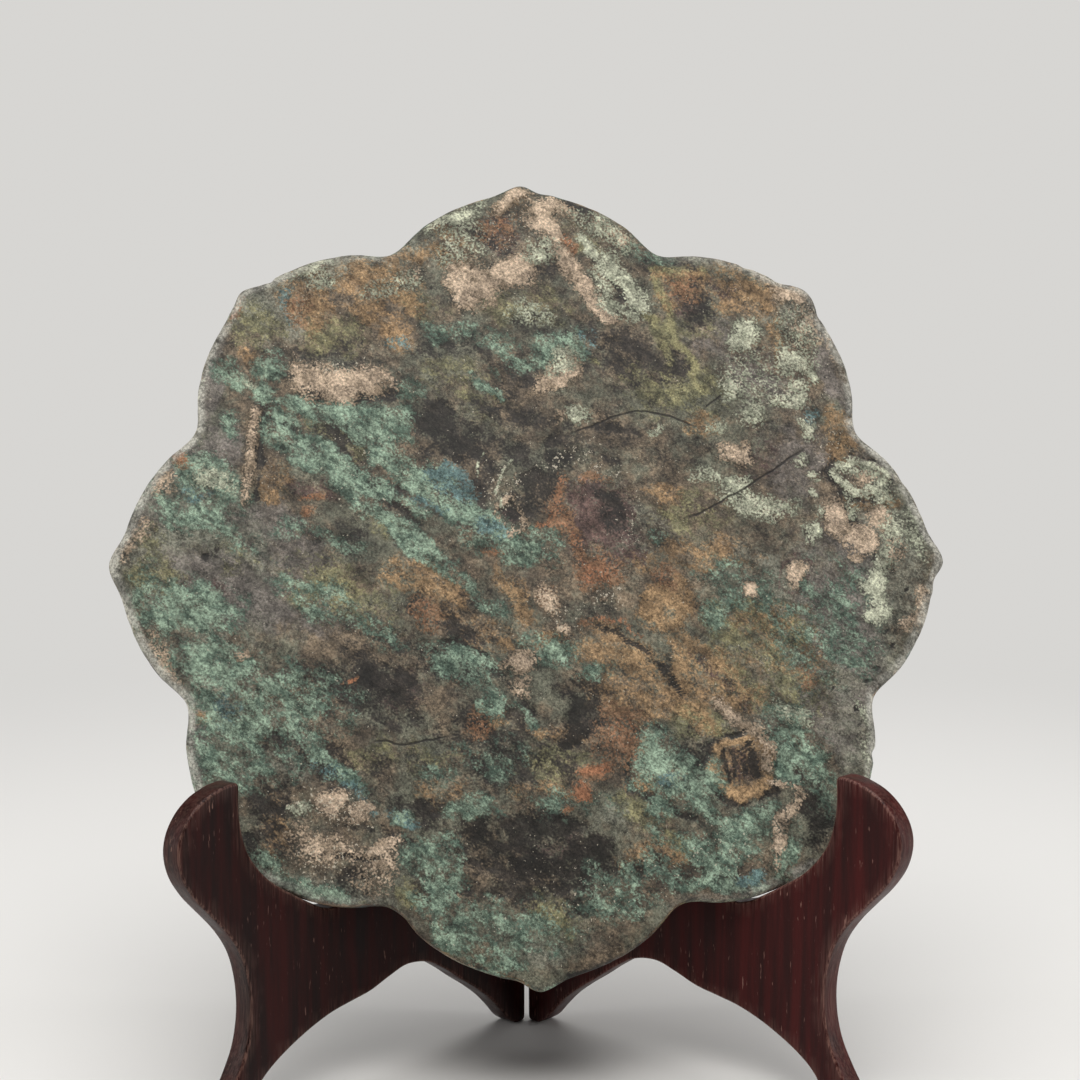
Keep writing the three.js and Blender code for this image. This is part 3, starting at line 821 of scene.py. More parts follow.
# %% Mint
lay("mint", [
    (-24, 118, 11, 3.5, 32, .95), (-22, 109, 10, 7, 30, .58), (24, 113, 13, 5, -33, .6),
    (-44, 92, 10, 5, 20, .5), (0, 82, 8, 5, 0, .5), (88, 74, 7, 12, 10, .5), (74, 60, 12, 12, 0, .42),
    (-70, 99, 8, 2.5, 22, .9), (-66, 95, 6, 4, 0, .6), (-69, -77, 4.5, 3, 0, .8),
    (5, 104, 7, 4, 10, .8), (69, 73, 4, 4, 0, .95), (73, 77, 3.5, 5, 0, .9), (86, 67, 6, 4, 0, .95),
    (90, 63, 2.5, 4, 0, .9), (64, 57, 4, 2.5, 0, .85), (71, 48, 6, 6, 20, .8), (84, 53, 5, 3, 0, .9),
    (87, 58, 2.5, 4, 0, .75), (88, 43.5, 3, 3.5, 0, 1), (16, 47, 4, 3.5, 0, .95),
    (41, 43, 3, 2.5, 0, .8), (87, 33, 3, 2.5, 0, .85), (92, 27, 2.5, 2, -30, .85),
    (53, 29, 5, 3, 0, .75), (65, 22, 5, 4, 0, .8), (72, 17, 10, 3.5, 0, .85), (90, 15, 2, 2.5, 0, .9),
    (91, 21, 1.3, 1.5, 0, .9), (88, 8, 2.5, 3, 0, .85), (104, 30, 6, 3, -20, .75),
    (111, 22, 5, 4, 0, .65), (114, 11, 5, 5, 0, .75), (122, 8, 4, 8, 25, .65),
    (107.6, -7, 3.4, 6.4, -8, 1.1), (110, 2, 3.6, 4.2, 0, .85), (108.2, -16, 4, 3.2, 0, 1.1),
    (88, 8.4, 2.2, 3, 0, .9), (-99, 27, 8, 4, -42, .75), (80, -49, 6, 4, 0, .6),
    (102, -55, 2, 12, 0, .7), (78, 56, 2, 2, 0, .7), (58, 26, 3, 2, 0, .7), (60, 44, 3, 3, 0, .55),
    (10, 66, 6, 3, 38, .8), (23, 118, 5, 3, -30, .6), (-104, 64, 1.5, 14, 0, .5),
    (-88, 60, 4, 2, -35, .6),
], [
    ([(25, 102), (32, 93), (37, 84)], 7, .95), ([(17, 108), (22, 103)], 3.6, .95),
    ([(23, 96), (25, 88), (33, 82)], 5, .7), ([(100, 22), (103, 14)], 2, .6),
    ([(-14, 36), (-16, 29)], 1, .7), ([(-6.6, 33), (-8.2, 26.6), (-9.6, 23.4), (-8.2, 18)], 1, .9),
])

# %% Soot
lay("soot", [
    (-30, 47, 12, 6, -15, .8), (-18, 40, 17, 9, -10, .75), (8, 31, 5, 9, 0, .95), (8, 38, 4, 3, 0, 1),
    (16, 122, 5, 3, -10, .9), (-5, 50, 12, 8, 0, .55), (30, 69, 14, 9, 0, .6), (55, 86, 6, 8, 0, .7),
    (57, 93, 4, 4, 0, .6), (4, 24, 7, 7, 0, .8), (37, 11, 1.6, 8, 25, .9), (40, 4, 5, 1.5, -30, .8),
    (-48, -38, 15, 12, -10, .85), (-30, -29, 16, 6, -25, .8), (-50, -45, 8, 7, 0, 1),
    (-35, -13, 3.5, 4, 0, .9), (-18, -54, 16, 8, 0, .6), (14, -50, 6, 11, -30, .9),
    (18, -42, 11, 3, 0, .7), (10, -93, 22, 7, 0, .95), (30, -94, 8, 4, 0, .7), (0, -84, 15, 6, 0, .8),
    (-16, -88, 12, 8, 0, .75), (-54, -98, 4, 5, 0, .85), (-31, -102, 4.5, 6, 0, .9),
    (-56, -89.5, 9, 1.2, 0, .7), (-40, -84, 10, 3, -25, .6), (-84, -88, 3, 8, 20, .9),
    (-78, -76, 6, 13, 0, .7), (83, -83, 5, 9, 10, 1), (-60, -66, 13, 4, -30, .8),
    (76, -57, 3, 5, 0, .7), (-12, 92, 2.5, 2, 0, .9), (-5, 16, 4, 3, 0, .85), (29, 16, 9, 10, 0, .6),
    (-8, 113, 8, 7, 0, .7), (47, -58, 5, 6, 30, .75), (6, 96, 6, 6, 0, .5), (36, 62, 14, 8, 0, .45),
    (-26, 72, 14, 5, 0, .5), (-86, 60, 3, 2, 0, .5), (12, -106, 6, 3, 0, .6), (78, -65, 3, 6, 0, .7),
    (-35, -75, 8, 5, 0, .6), (-60, 70, 16, 3, 0, .5), (48, 66, 4, 5, 0, .6), (30, 91, 2.5, 3, 0, .8),
    (10, 78, 12, 5, 0, .5), (-20, 22, 10, 12, 0, .55), (-20, -20, 10, 8, 0, .5),
    (-5, -62, 20, 10, 0, .55), (-60, -62, 18, 8, -20, .45), (0, -100, 20, 8, 0, .5),
    (58, -98, 8, 6, 0, .55), (-60, 42, 10, 5, -30, .55), (22, 42, 12, 8, 0, .5),
    (-66, -38, 10, 8, 0, .5), (-60, 8, 8, 6, 0, .5), (-60, 60, 20, 3, 0, .4), (-4, 58, 12, 8, 0, .5),
    (-24, -60, 14, 8, 0, .45), (-24, -100, 8, 8, 0, .45), (60, -99, 9, 5, 0, .6),
    (50, 100, 10, 4, 0, .5), (112, -24, .9, .9, 0, 1.4), (113, -28, .8, .8, 0, 1.4),
    (117, -8, .8, .8, 0, 1.4), (93, -40, .8, .8, 0, 1.3), (100, -47, .9, .9, 0, 1.4),
    (103, -37, .8, .8, 0, 1.4), (-102, 2, .9, .9, 0, 1.4), (-98, 4, .8, .8, 0, 1.3),
    (96, -27, .7, .7, 0, 1.4), (106, -33, .8, .8, 0, 1.4), (99, -33, .7, .7, 0, 1.4),
    (109, -18, .7, .7, 0, 1.4),
], [
    ([(20, -22), (30, -27), (39, -34), (46, -41)], 2, 1), ([(28, -70), (36, -77), (46, -80)], 1.6, 1),
    ([(-30, -24), (-18, -29), (-8, -40), (0, -47)], 2.4, .95), ([(-78, 47), (-70, 41)], 3.4, .85),
    ([(-66, 40), (-52, 30), (-45, 22), (-36, 12)], 2.6, .9), ([(-47, 26), (-38, 25)], 3, .8),
    ([(-50, 18), (-40, 6)], 2.6, .8), ([(-72, 55), (-60, 52), (-44, 55)], 3, .85),
    ([(24, 101), (28, 92)], 1.6, .9), ([(29, 97), (34, 90)], 1.4, .9),
    # The streak from (-84, 40) to (-86, 22) runs along the right side of the rod: a painted shadow of the
    # rod.
    ([(100, 19), (103, 14), (101, 9), (107, 3)], 1.6, .9), ([(-84, 40), (-86, 22)], 1.6, .9),
    ([(110, 16), (113, 8)], 1.6, .7), ([(96, 33), (97, 24)], 2.4, .7), ([(75, 43), (79, 43)], 1, .8),
])

# %% Bloom
lay("bloom", [
    (112, 0, 12, 30, 0, .8), (100, -40, 12, 26, -10, .95), (86, -15, 26, 20, -20, .62),
    (-112, 10, 14, 26, 0, .8), (-98, -35, 16, 24, 20, .72), (-80, -58, 16, 12, 0, .6),
    (-84, 86, 16, 12, -30, .85), (-60, 100, 14, 6, 25, .75), (0, 115, 22, 8, 0, .5),
    (32, 8, 14, 14, 0, .35), (-100, 20, 12, 12, 0, .6), (62, -54, 14, 8, 0, .6),
    (-84, 0, 12, 12, 0, .45), (82, -36, 12, 10, 0, .75), (0, -119, 10, 4, 0, .6),
    (86, 82, 9, 8, 0, .9), (-40, 106, 10, 8, 0, .75), (-104, 62, 6, 14, 0, .6),
    (-60, -100, 14, 5, -10, .7), (20, -80, 12, 6, 0, .45), (20, 20, 10, 8, 0, .5),
])

# %% Tin
lay("tin", [
    (-100, -2, 17, 7, -10, .9), (-86, -12, 15, 11, -20, .85), (-72, 3, 12, 8, 0, .7),
    (-95, 40, 10, 8, 0, .8), (-102, 60, 4, 17, 0, .9), (-82, 14, 13, 6, 0, .8),
    (95, -15, 14, 28, 0, .8), (92, -50, 12, 14, 0, .6), (97, 66, 4, 14, 12, .9),
    (85, 30, 11, 14, 0, .7), (75, 60, 13, 12, 0, .6), (-115, 17, 9, 6, 0, .6),
    (-101, -55, 3, 15, 0, .9), (60, 76, 9, 9, 0, .6), (104, -40, 4, 14, 0, .7),
    (-64, -15, 13, 8, 0, .6), (-70, 40, 5, 4, 0, .7), (-108, 36, 8, 6, 30, .7),
    (103, 50, 3, 12, 0, .7), (108, 35, 6, 6, 0, .5),
])

# %% Specks
SPECK_CLUSTERS = [
    (12, 33, 13, 3, 12, 1), (25, 31, 6, 3, 0, .9), (30, 12, 4, 10, -20, .8), (22, -13, 8, 5, 0, 1),
    (9, -18, 6, 6, 0, .9), (-60, -76, 13, 6, -20, 1), (-60, -92, 14, 8, 0, .8), (-14, -111, 2, 2, 0, 1),
    (66, 58, 5, 3, 0, 1), (84, 54, 5, 6, 0, .9), (90, 84, 9, 10, 0, .8), (56, -88, 12, 8, 0, .6),
    (-8, 22, 8, 10, 0, .9), (-62, 66, 14, 3, 0, .8), (96, 40, 10, 30, 0, .45), (-80, 32, 6, 8, 0, .5),
    (0, 110, 30, 10, 0, .5), (20, -100, 30, 12, 0, .3), (-50, 30, 20, 12, -35, .4), (72, 17, 9, 4, 0, .7),
]
print("speck clusters:", len(SPECK_CLUSTERS))

# %% Rings, and the bars of the striped scab
def ring(across, up, radius_across, radius_up):
    turns = [math.radians(angle) for angle in range(0, 361, 24)]
    return [(across + radius_across * math.cos(turn), up + radius_up * math.sin(turn)) for turn in turns]


# Rings: the ochre rim of the striped scab low on the right, a ring of crust, and rings left round old spots.
STREAKS["earth"].append((ring(62.5, -64.5, 10.5, 9), 3.6, 1.3))
STREAKS["earth"].append((ring(42.4, -13.4, 7, 6), 4, .95))
STREAKS["soot"].append((ring(62.5, -64.5, 13.2, 11.5), 2, .8))
STREAKS["soot"].append((ring(37.5, -63.5, 11, 11), 1.6, .7))
STREAKS["soot"].append((ring(-76, -61, 5, 6), 1.2, .7))
STREAKS["cuprite"].append((ring(81.6, -4.2, 6.5, 6.5), 1.6, .7))
STREAKS["mint"].append((ring(105.5, 27.5, 7.5, 5), 2.6, .9))
STREAKS["soot"].append((ring(105.5, 27.5, 10, 7), 1.6, .6))
STREAKS["lime"].append((ring(-5.5, 14.6, 4.6, 5), 1.4, .6))
for bar in range(4):  # dark bars across the striped scab
    upper = (55.5 + 3.6 * bar, -60.5 + 0.8 * bar)
    lower = (57.5 + 3.6 * bar, -69.5 + 0.8 * bar)
    STREAKS["soot"].append(([upper, lower], 2.2, 1))
FINISHES = list(SPOTS)
print("streaks with the rings:", {finish: len(STREAKS[finish]) for finish in FINISHES})

# %% [markdown]
# ## From lists to soft masks
# Real stains have no ruled edge. Each place in the lists becomes a soft hill that fades outwards, its
# outline is led astray by clouds, and the highest hill wins. The result is one number for each finish at
# each point of the mesh, which the material and the relief both read, so that colour and form agree.
# Texture painting would give the same numbers, but nobody could read or correct them as text.

# %% From a place to a soft hill
WANDER = ((12, 2.6), (4.5, 1.3))  # how far patches stray from clean ovals: (size of the wave, reach)


def wandered(u, v):
    for i, (size, reach) in enumerate(WANDER):
        u = u + (cloud(u, v, size, 21 + i) - 0.5) * 2 * reach
        v = v + (cloud(u, v, size, 31 + i) - 0.5) * 2 * reach
    return u, v


def spot_mask(u, v, across, up, half_long, half_short, turn, thick):
    turn = math.radians(turn)
    along = (u - across) * math.cos(turn) + (v - up) * math.sin(turn)
    aside = (v - up) * math.cos(turn) - (u - across) * math.sin(turn)
    distance = np.hypot(along / half_long, aside / half_short)
    return thick * smooth_between(1.6, 0.3, distance)


def streak_mask(u, v, points, width, thick):
    nearest = np.full_like(u, 1e9)
    for (u0, v0), (u1, v1) in zip(points, points[1:]):
        du, dv = u1 - u0, v1 - v0
        along = np.clip(((u - u0) * du + (v - v0) * dv) / (du * du + dv * dv), 0, 1)
        nearest = np.minimum(nearest, np.hypot(u - u0 - along * du, v - v0 - along * dv))
    return thick * smooth_between(1.6, 0.3, nearest / (width / 2))


def finish_mask(finish, u, v):
    masks = [spot_mask(u, v, *spot) for spot in SPOTS[finish]]
    masks += [streak_mask(u, v, *streak) for streak in STREAKS[finish]]
    return np.maximum.reduce(masks)


print("patches stray by up to", sum(reach for _, reach in WANDER), "mm")

# %% Masks on every point of the mirror
BEHIND = {  # how thick each finish lies behind, where crusts are thinner
    "lime": 0.55, "mint": 0.5, "azure": 0.4, "rust": 0.55, "soot": 0.8, "cuprite": 0.6, "bloom": 0.5,
}
BEHIND_ELSE = 0.75
ROD = ([(-86, 50), (-88.3, 20.5)], 3.8, 0.7)  # a thin rod left lying under the crust: points, width, height
casting = np.array([v.co for v in mirror.data.vertices])
across, up, height = casting.T
on_face = smooth_between(-1.6, -0.4, height)
face_u, face_v = wandered(across, up)
rod_u = across + 0.5 * (cloud(across, up, 9, 74) - 0.5)
rod_points, rod_width, rod_height = ROD
rod = streak_mask(rod_u, up, rod_points, rod_width, 1) * on_face
# A thin dark line is painted just right of the rod: a painted shadow of the rod, which itself stands proud
# in the relief.
rod_painted_shadow = streak_mask(rod_u - 3.1, up, rod_points, 1.5, 1) * on_face
masks = {}
for i, finish in enumerate(FINISHES):
    # The back and the edge were never looked after, so plain clouds of each finish cover them.
    patches = smooth_between(0.45, 0.75, cloud(across, up + 2 * height, 30, 51 + i, 3))
    behind = patches * BEHIND.get(finish, BEHIND_ELSE)
    masks[finish] = finish_mask(finish, face_u, face_v) * on_face + behind * (1 - on_face)
    if finish == "lime":
        masks[finish] = np.maximum(masks[finish], 0.66 * rod)
    # The soot also takes the rod's painted shadow.
    elif finish == "soot":
        masks[finish] = np.maximum(1.12 * masks[finish], rod_painted_shadow)
    else:
        masks[finish] = masks[finish] * (1 - 0.7 * rod)
    mark(mirror.data, finish, masks[finish])
print("finishes on the mirror:", {f: f"{(m[on_face > 0.5] > 0.5).mean():.0%}" for f, m in masks.items()})

# %% Specks, the painted rim highlight and the flow
FLOW_TURN = math.radians(-38)  # water ran down the face on a slant, and drew the soft finishes out along it
inside = TIP_R - np.hypot(across, up) * TIP_R / petal_radius(np.arctan2(up, across))
specks = np.maximum.reduce([spot_mask(face_u, face_v, *cluster) for cluster in SPECK_CLUSTERS]) * on_face
mark(mirror.data, "specks", specks)
# Only the left and right of the rim's bevel are marked, where the side lamps catch it: this mask is a
# painted highlight.
sides = np.abs(across) / np.maximum(np.hypot(across, up), 1)
near_rim = smooth_between(4.2, 1.6, inside) * smooth_between(-3.2, -1.6, height)
worn_rim = near_rim * smooth_between(0.2, 0.9, sides)
mark(mirror.data, "worn_rim", worn_rim)
along = across * math.cos(FLOW_TURN) + up * math.sin(FLOW_TURN)
aside = up * math.cos(FLOW_TURN) - across * math.sin(FLOW_TURN)
flow = np.column_stack([0.65 * along, aside, height]) * MM
mirror.data.attributes.new("flow", "FLOAT_VECTOR", "POINT").data.foreach_set("vector", flow.ravel())
print("the rim is worn on", f"{(worn_rim > 0.5).mean():.1%}", "of the points")

# %% Cracks
CRACKS = [
    [(11, 41), (19, 44.5), (30, 49), (37, 50), (45, 48), (50, 46.3), (55, 44.3)],
    [(46, 12.8), (55, 16.5), (62, 20.6), (70, 25), (80, 32), (91, 40)],
    [(56, 50.5), (62.5, 55.5)], [(-49, -56), (-38, -56.5), (-24, -54)],
]


def crack_distance(u, v):
    """Millimetres to the nearest crack, with a sign that says on which side, and how open it is there."""
    nearest, sign, share = np.full_like(u, 9.0), np.ones_like(u), np.zeros_like(u)
    for points in CRACKS:
        total = len(points) - 1
        for i, ((u0, v0), (u1, v1)) in enumerate(zip(points, points[1:])):
            du, dv = u1 - u0, v1 - v0
            along = ((u - u0) * du + (v - v0) * dv) / (du * du + dv * dv)
            held = np.clip(along, 0, 1)
            distance = np.hypot(u - u0 - held * du, v - v0 - held * dv)
            closer = distance < nearest
            nearest = np.where(closer, distance, nearest)
            sign = np.where(closer, np.sign((u - u0) * dv - (v - v0) * du), sign)
            run = (i + along) / total
            ends = smooth_between(-0.01, 0.12, run) * smooth_between(1.01, 0.85, run)
            share = np.where(closer, ends, share)
    return nearest * sign, share


# Cracks wander too: half a millimetre across, and a little over a millimetre up.
crack_u = across + 0.5 * (cloud(across, up, 5, 41) - 0.5)
crack_v = up + 1.2 * (cloud(across, up, 5, 42, 2) - 0.5)
crack_side, crack_open = crack_distance(crack_u, crack_v)
mark(mirror.data, "crack_side", crack_side)
mark(mirror.data, "crack_open", crack_open * on_face)
print("cracks:", len(CRACKS), "with", sum(len(points) - 1 for points in CRACKS), "stretches")

# %% [markdown]
# ## The worn surface in the mesh
# The face was ground flat once. Crusts now stand a little proud of it, dark places are eaten away, and
# several petals have lost their points. These forms are moved into the mesh itself, so that they are there
# from every side, and only the grain that is finer than the mesh is left to the material. Everything on
# the rim moves inwards, because the casting fills its outer size already.

# %% Crusts, pits, a rod of corrosion and worn tips
CRUST_HEIGHTS = {  # millimetres proud of the face, or below it
    "lime": 0.2, "mint": 0.14, "earth": 0.06, "verdigris": 0.08, "rust": 0.08, "cuprite": 0.05,
    "soot": -0.16, "tin": -0.05,
}
SWELL = 0.26  # broad unevenness of the whole face
ROUGHNESS_OF_FACE = 0.1
RIM_WEAR = 0.3
SCAB = (-79, 28, 8, 10, 5)
SCAB_HEIGHT = 0.35
WORN_TIPS = [  # (across, up, reach, depth) of the places where the outline is worn back
    (-88, 96, 9, 1.2), (-94, 88, 5, 0.6), (4, 129, 7, 1.6), (128, -5, 6, 1.4), (-5, -129, 7, 1.3),
    (104, -61, 3, 0.9), (105, -66, 2.5, 0.8), (84, 97, 5, 0.8), (-83, 96, 2, 0.7), (72, 101, 3, 0.5),
    (96, 84, 3, 0.5), (-38, -108, 4, 0.4), (120, 27, 4, 0.4),
]

broken = cloud(across, up, 3, 71, 2)
relief = SWELL * (cloud(across, up, 28, 72, 2) - 0.5)
for finish, rise in CRUST_HEIGHTS.items():
    relief += rise * smooth_between(0.38, 0.62, masks[finish] + 0.5 * (broken - 0.5))
relief += ROUGHNESS_OF_FACE * (cloud(across, up, 2.4, 73, 2) - 0.5)
relief += rod_height * rod
relief += SCAB_HEIGHT * spot_mask(face_u, face_v, *SCAB, 1)
into_rim = smooth_between(5.5, 2, inside)
relief = np.where(relief > 0, relief * (1 - into_rim), relief)
height = height + relief * (on_face - 0.6 * (1 - on_face) * smooth_between(-3, -3.6, height))

radius = np.hypot(across, up)
wear = RIM_WEAR * cloud(across, up + 7 * height, 7, 75, 3) ** 2
for worn_u, worn_v, reach, depth in WORN_TIPS:
    wear += depth * smooth_between(1, 0, np.hypot(across - worn_u, up - worn_v) / reach)
shrink = 1 - wear * into_rim / np.maximum(radius, 1)
across, up = across * shrink, up * shrink
casting = np.column_stack([across, up, height])
print("relief from", round(float(relief.min()), 2), "to", round(float(relief.max()), 2), "mm")

# %% [markdown]
# ## The mirror in the stand
# So far the mirror lay flat, which kept every measure simple. Now its points are leaned back and moved to
# where the stand holds it, and the finished mesh takes the place of the plain solid. Turning the object
# instead of its points would do as well, but then the finishes would have to be read in turned axes.

# %% Stand the mirror in its place
def to_world(points):
    """From the mirror's own millimetres (across, up the face, towards the viewer) to the row's metres."""
    up = np.array([0, math.sin(MIRROR_LEAN), math.cos(MIRROR_LEAN)])
    out = np.array([0, -math.cos(MIRROR_LEAN), math.sin(MIRROR_LEAN)])
    world = points[:, :1] * np.array([1.0, 0, 0]) + points[:, 1:2] * up + points[:, 2:3] * out
    return world * MM + np.array(FACE_MIDDLE)


mirror.data.vertices.foreach_set("co", to_world(casting).ravel())
mirror.data.polygons.foreach_set("use_smooth", [True] * len(mirror.data.polygons))
mirror.data.set_sharp_from_angle(angle=math.radians(50))
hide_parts("mirror")
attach(mirror, "root")
print("mirror stands from", [round(x / MM, 1) for x in to_world(casting).min(axis=0)], "mm")

# %% [markdown]
# ## Node groups shared by the finishes
# **Crust** lays one finish over what is under it. It takes the soft mask of where the finish lies, breaks
# its edge with noise along the flow and with even granules, darkens the metal just outside it, and mixes
# two tones of the finish, of which the second comes forward at thin edges. **Grain** is the fine texture
# of old surfaces: clouds that run from a centimetre down to a grain of sand, thin dark veins, pores, pocks
# and white flecks, as one shade to multiply with, a mask for the flecks and one height for the bump. Both
# take two sets of places: one drawn out along the flow, for broad forms, and an even one for grains.

# %% Helpers for noise
def noise_at(tree, place, size, detail, roughness):
    """Noise with hills about `size` millimetres apart. A linked size is a scale in hills a metre already."""
    scale = size if isinstance(size, bpy.types.NodeSocket) else 1000.0 / size
    given = {"Vector": place, "Scale": scale, "Detail": detail, "Roughness": roughness, "Lacunarity": 2.4}
    return put(tree, "TexNoise", given).outputs[0]


def times(tree, one, other):
    return sums(tree, "MULTIPLY", one, other)


def plus(tree, one, other):
    return sums(tree, "ADD", one, other)


print("hills 4 mm apart are", round(1 / (4 * MM)), "to a metre")

# %% Crust
crust, given, made = start_group(
    "crust",
    {"Under": ("Color", None), "Tone": ("Color", None), "Second Tone": ("Color", None),
     "Mask": ("Float", 0.0),
     "Place": ("Vector", None), "Even Place": ("Vector", None), "Shift": ("Vector", (0, 0, 0)),
     "Breakup": ("Float", 0.5), "Granules": ("Float", 0.2), "Softness": ("Float", 0.3),
     "Size": ("Float", 5.0),
     "Fullness": ("Float", 1.0), "Halo": ("Float", 0.3), "Edge Tone": ("Float", 0.1)},
    {"Color": "Color", "Cover": "Float"},
)
moved, even_moved = [
    put(crust, "VectorMath", {0: given[which], 1: given["Shift"]}, operation="ADD").outputs[0]
    for which in ("Place", "Even Place")
]
edge_noise = noise_at(crust, moved, sums(crust, "DIVIDE", 1000.0, given["Size"]), 3.0, 0.74)
stray = times(crust, steps(crust, edge_noise, 0.33, 0.67, -1.0, 1.0), given["Breakup"])
granule_noise = noise_at(crust, even_moved, 0.7, 0.0, 0.7)
stray = plus(crust, stray, times(crust, steps(crust, granule_noise, 0.3, 0.7, -1.0, 1.0), given["Granules"]))
near = steps(crust, given["Mask"], 0.0, 0.3, 0.2, 1.0)
filled = plus(crust, given["Mask"], times(crust, stray, near))
low, high = sums(crust, "SUBTRACT", 0.5, given["Softness"]), plus(crust, 0.5, given["Softness"])
cover = times(crust, steps(crust, filled, low, high), given["Fullness"])
halo = times(crust, steps(crust, filled, 0.0, 0.3), given["Halo"])
darkened = blend(crust, halo, given["Under"], tone("2a2622"))
thinness = sums(crust, "SUBTRACT", 0.75, given["Mask"])
tone_noise = plus(crust, noise_at(crust, moved, 4.0, 3.0, 0.8), times(crust, thinness, given["Edge Tone"]))
two_tones = blend(crust, steps(crust, tone_noise, 0.38, 0.64), given["Tone"], given["Second Tone"])
crust.links.new(blend(crust, cover, darkened, two_tones), made["Color"])
crust.links.new(cover, made["Cover"])
print("crust has", len(crust.nodes), "nodes")

# %% Grain
grain, given, made = start_group(
    "grain",
    {"Place": ("Vector", None), "Even Place": ("Vector", None), "Specks": ("Float", 0.0),
     "Fine Depth": ("Float", 0.3), "Broad Depth": ("Float", 0.4), "Veins": ("Float", 0.3)},
    {"Shade": "Color", "Flecks": "Float", "Height": "Float"},
)
place, even_place = given["Place"], given["Even Place"]
salt = noise_at(grain, even_place, 0.75, 1.5, 0.8)
broad = noise_at(grain, place, 8.0, 5.0, 0.78)
vein_noise = noise_at(grain, even_place, 9.0, 4.0, 0.66)
veins = steps(grain, sums(grain, "ABSOLUTE", sums(grain, "SUBTRACT", vein_noise, 0.5)), 0.0, 0.028)
pore_cells = put(grain, "TexVoronoi", {"Vector": even_place, "Scale": 520.0})
pores = steps(grain, plus(grain, pore_cells.outputs["Distance"], times(grain, broad, 0.9)), 0.46, 0.56)
fine_part = times(grain, steps(grain, salt, 0.34, 0.66, -1.0, 1.0), given["Fine Depth"])
broad_part = times(grain, steps(grain, broad, 0.33, 0.67, -1.0, 1.0), given["Broad Depth"])
vein_part = times(grain, sums(grain, "SUBTRACT", 1.0, veins), given["Veins"])
shade = times(grain, plus(grain, 1.0, fine_part), plus(grain, 1.0, broad_part))
shade = times(grain, shade, sums(grain, "SUBTRACT", 1.0, vein_part))
shade = times(grain, shade, plus(grain, 0.45, times(grain, pores, 0.55)))
pock_cells = put(grain, "TexVoronoi", {"Vector": even_place, "Scale": 300.0})
pock_stray = times(grain, sums(grain, "SUBTRACT", salt, 0.5), 0.9)
pock_edge = plus(grain, pock_cells.outputs["Distance"], pock_stray)
pock = steps(grain, pock_edge, 0.16, 0.42, 1.0, 0.0)
which = put(grain, "SeparateColor", {0: pock_cells.outputs["Color"]}).outputs[0]
dark_pocks = times(grain, pock, steps(grain, which, 0.62, 0.82))
pale_pocks = times(grain, pock, steps(grain, which, 0.36, 0.16))
with_pale = plus(grain, 1.0, times(grain, pale_pocks, 0.35))
shade = times(grain, shade, sums(grain, "SUBTRACT", with_pale, times(grain, dark_pocks, 0.4)))
speck_noise = noise_at(grain, even_place, 0.9, 1.0, 0.6)
speck_limit = sums(grain, "SUBTRACT", 0.74, times(grain, given["Specks"], 0.135))
flecks = steps(grain, sums(grain, "SUBTRACT", speck_noise, speck_limit), 0.0, 0.045)
grain.links.new(put(grain, "CombineColor", {0: shade, 1: shade, 2: shade}).outputs[0], made["Shade"])
grain.links.new(flecks, made["Flecks"])
rough_height = plus(grain, times(grain, salt, 0.5), plus(grain, broad, times(grain, veins, 0.25)))
grain.links.new(rough_height, made["Height"])
print("grain has", len(grain.nodes), "nodes")

# %% [markdown]
# ## Patinated bronze
# The finishes go on one over another: the bare skin first, then bloom, tin, olive, earth, cuprite and
# soot, then verdigris, azure and rust, and the pale crusts of lime and mint last. Each one is the same
# crust group with its own two tones. Where bare skin shows, the metal still shines a little. Lime and rust
# are dry and rough.

# %% Tones of the finishes
BARE_TONES = ("7d6e5b", "4c443a", "646759", "2e2a26")  # brown, dark brown, grey green, nearly black
# finish: (tone, second tone, breakup, granules, softness, edge size, fullness, halo, roughness)
FINISH_TONES = {
    "bloom": ("878677", "686a5f", 0.28, 0.15, 0.46, 8.0, 0.8, 0.0, 0.6),
    "tin": ("766f69", "5b5650", 0.35, 0.1, 0.45, 9.0, 0.85, 0.0, 0.42),
    "olive": ("918c66", "64634b", 0.45, 0.2, 0.42, 7.0, 0.85, 0.0, 0.62),
    "earth": ("a98b67", "7c654b", 0.45, 0.25, 0.42, 6.0, 0.85, 0.0, 0.72),
    "cuprite": ("6b544e", "4b3c39", 0.35, 0.25, 0.4, 4.0, 0.95, 0.0, 0.6),
    "soot": ("1b1916", "312c28", 0.5, 0.2, 0.42, 8.0, 0.95, 0.0, 0.5),
    "verdigris": ("90a590", "4c5f53", 0.42, 0.2, 0.37, 5.5, 0.92, 0.3, 0.66),
    "azure": ("6f8a89", "4d6666", 0.5, 0.3, 0.35, 5.0, 0.85, 0.0, 0.66),
    "rust": ("a06f52", "82664f", 0.4, 0.35, 0.4, 4.0, 0.92, 0.1, 0.75),
    "lime": ("c0ac96", "8f7f6c", 0.22, 0.24, 0.18, 3.5, 0.95, 0.3, 0.85),
    "mint": ("bcbea8", "8e927f", 0.24, 0.34, 0.28, 3.0, 0.92, 0.2, 0.82),
}
print("tones for", len(FINISH_TONES), "finishes")

# %% Lay the finishes one over another
CRUST_BUMP = 2.4  # how much of a crust's height the bump repeats

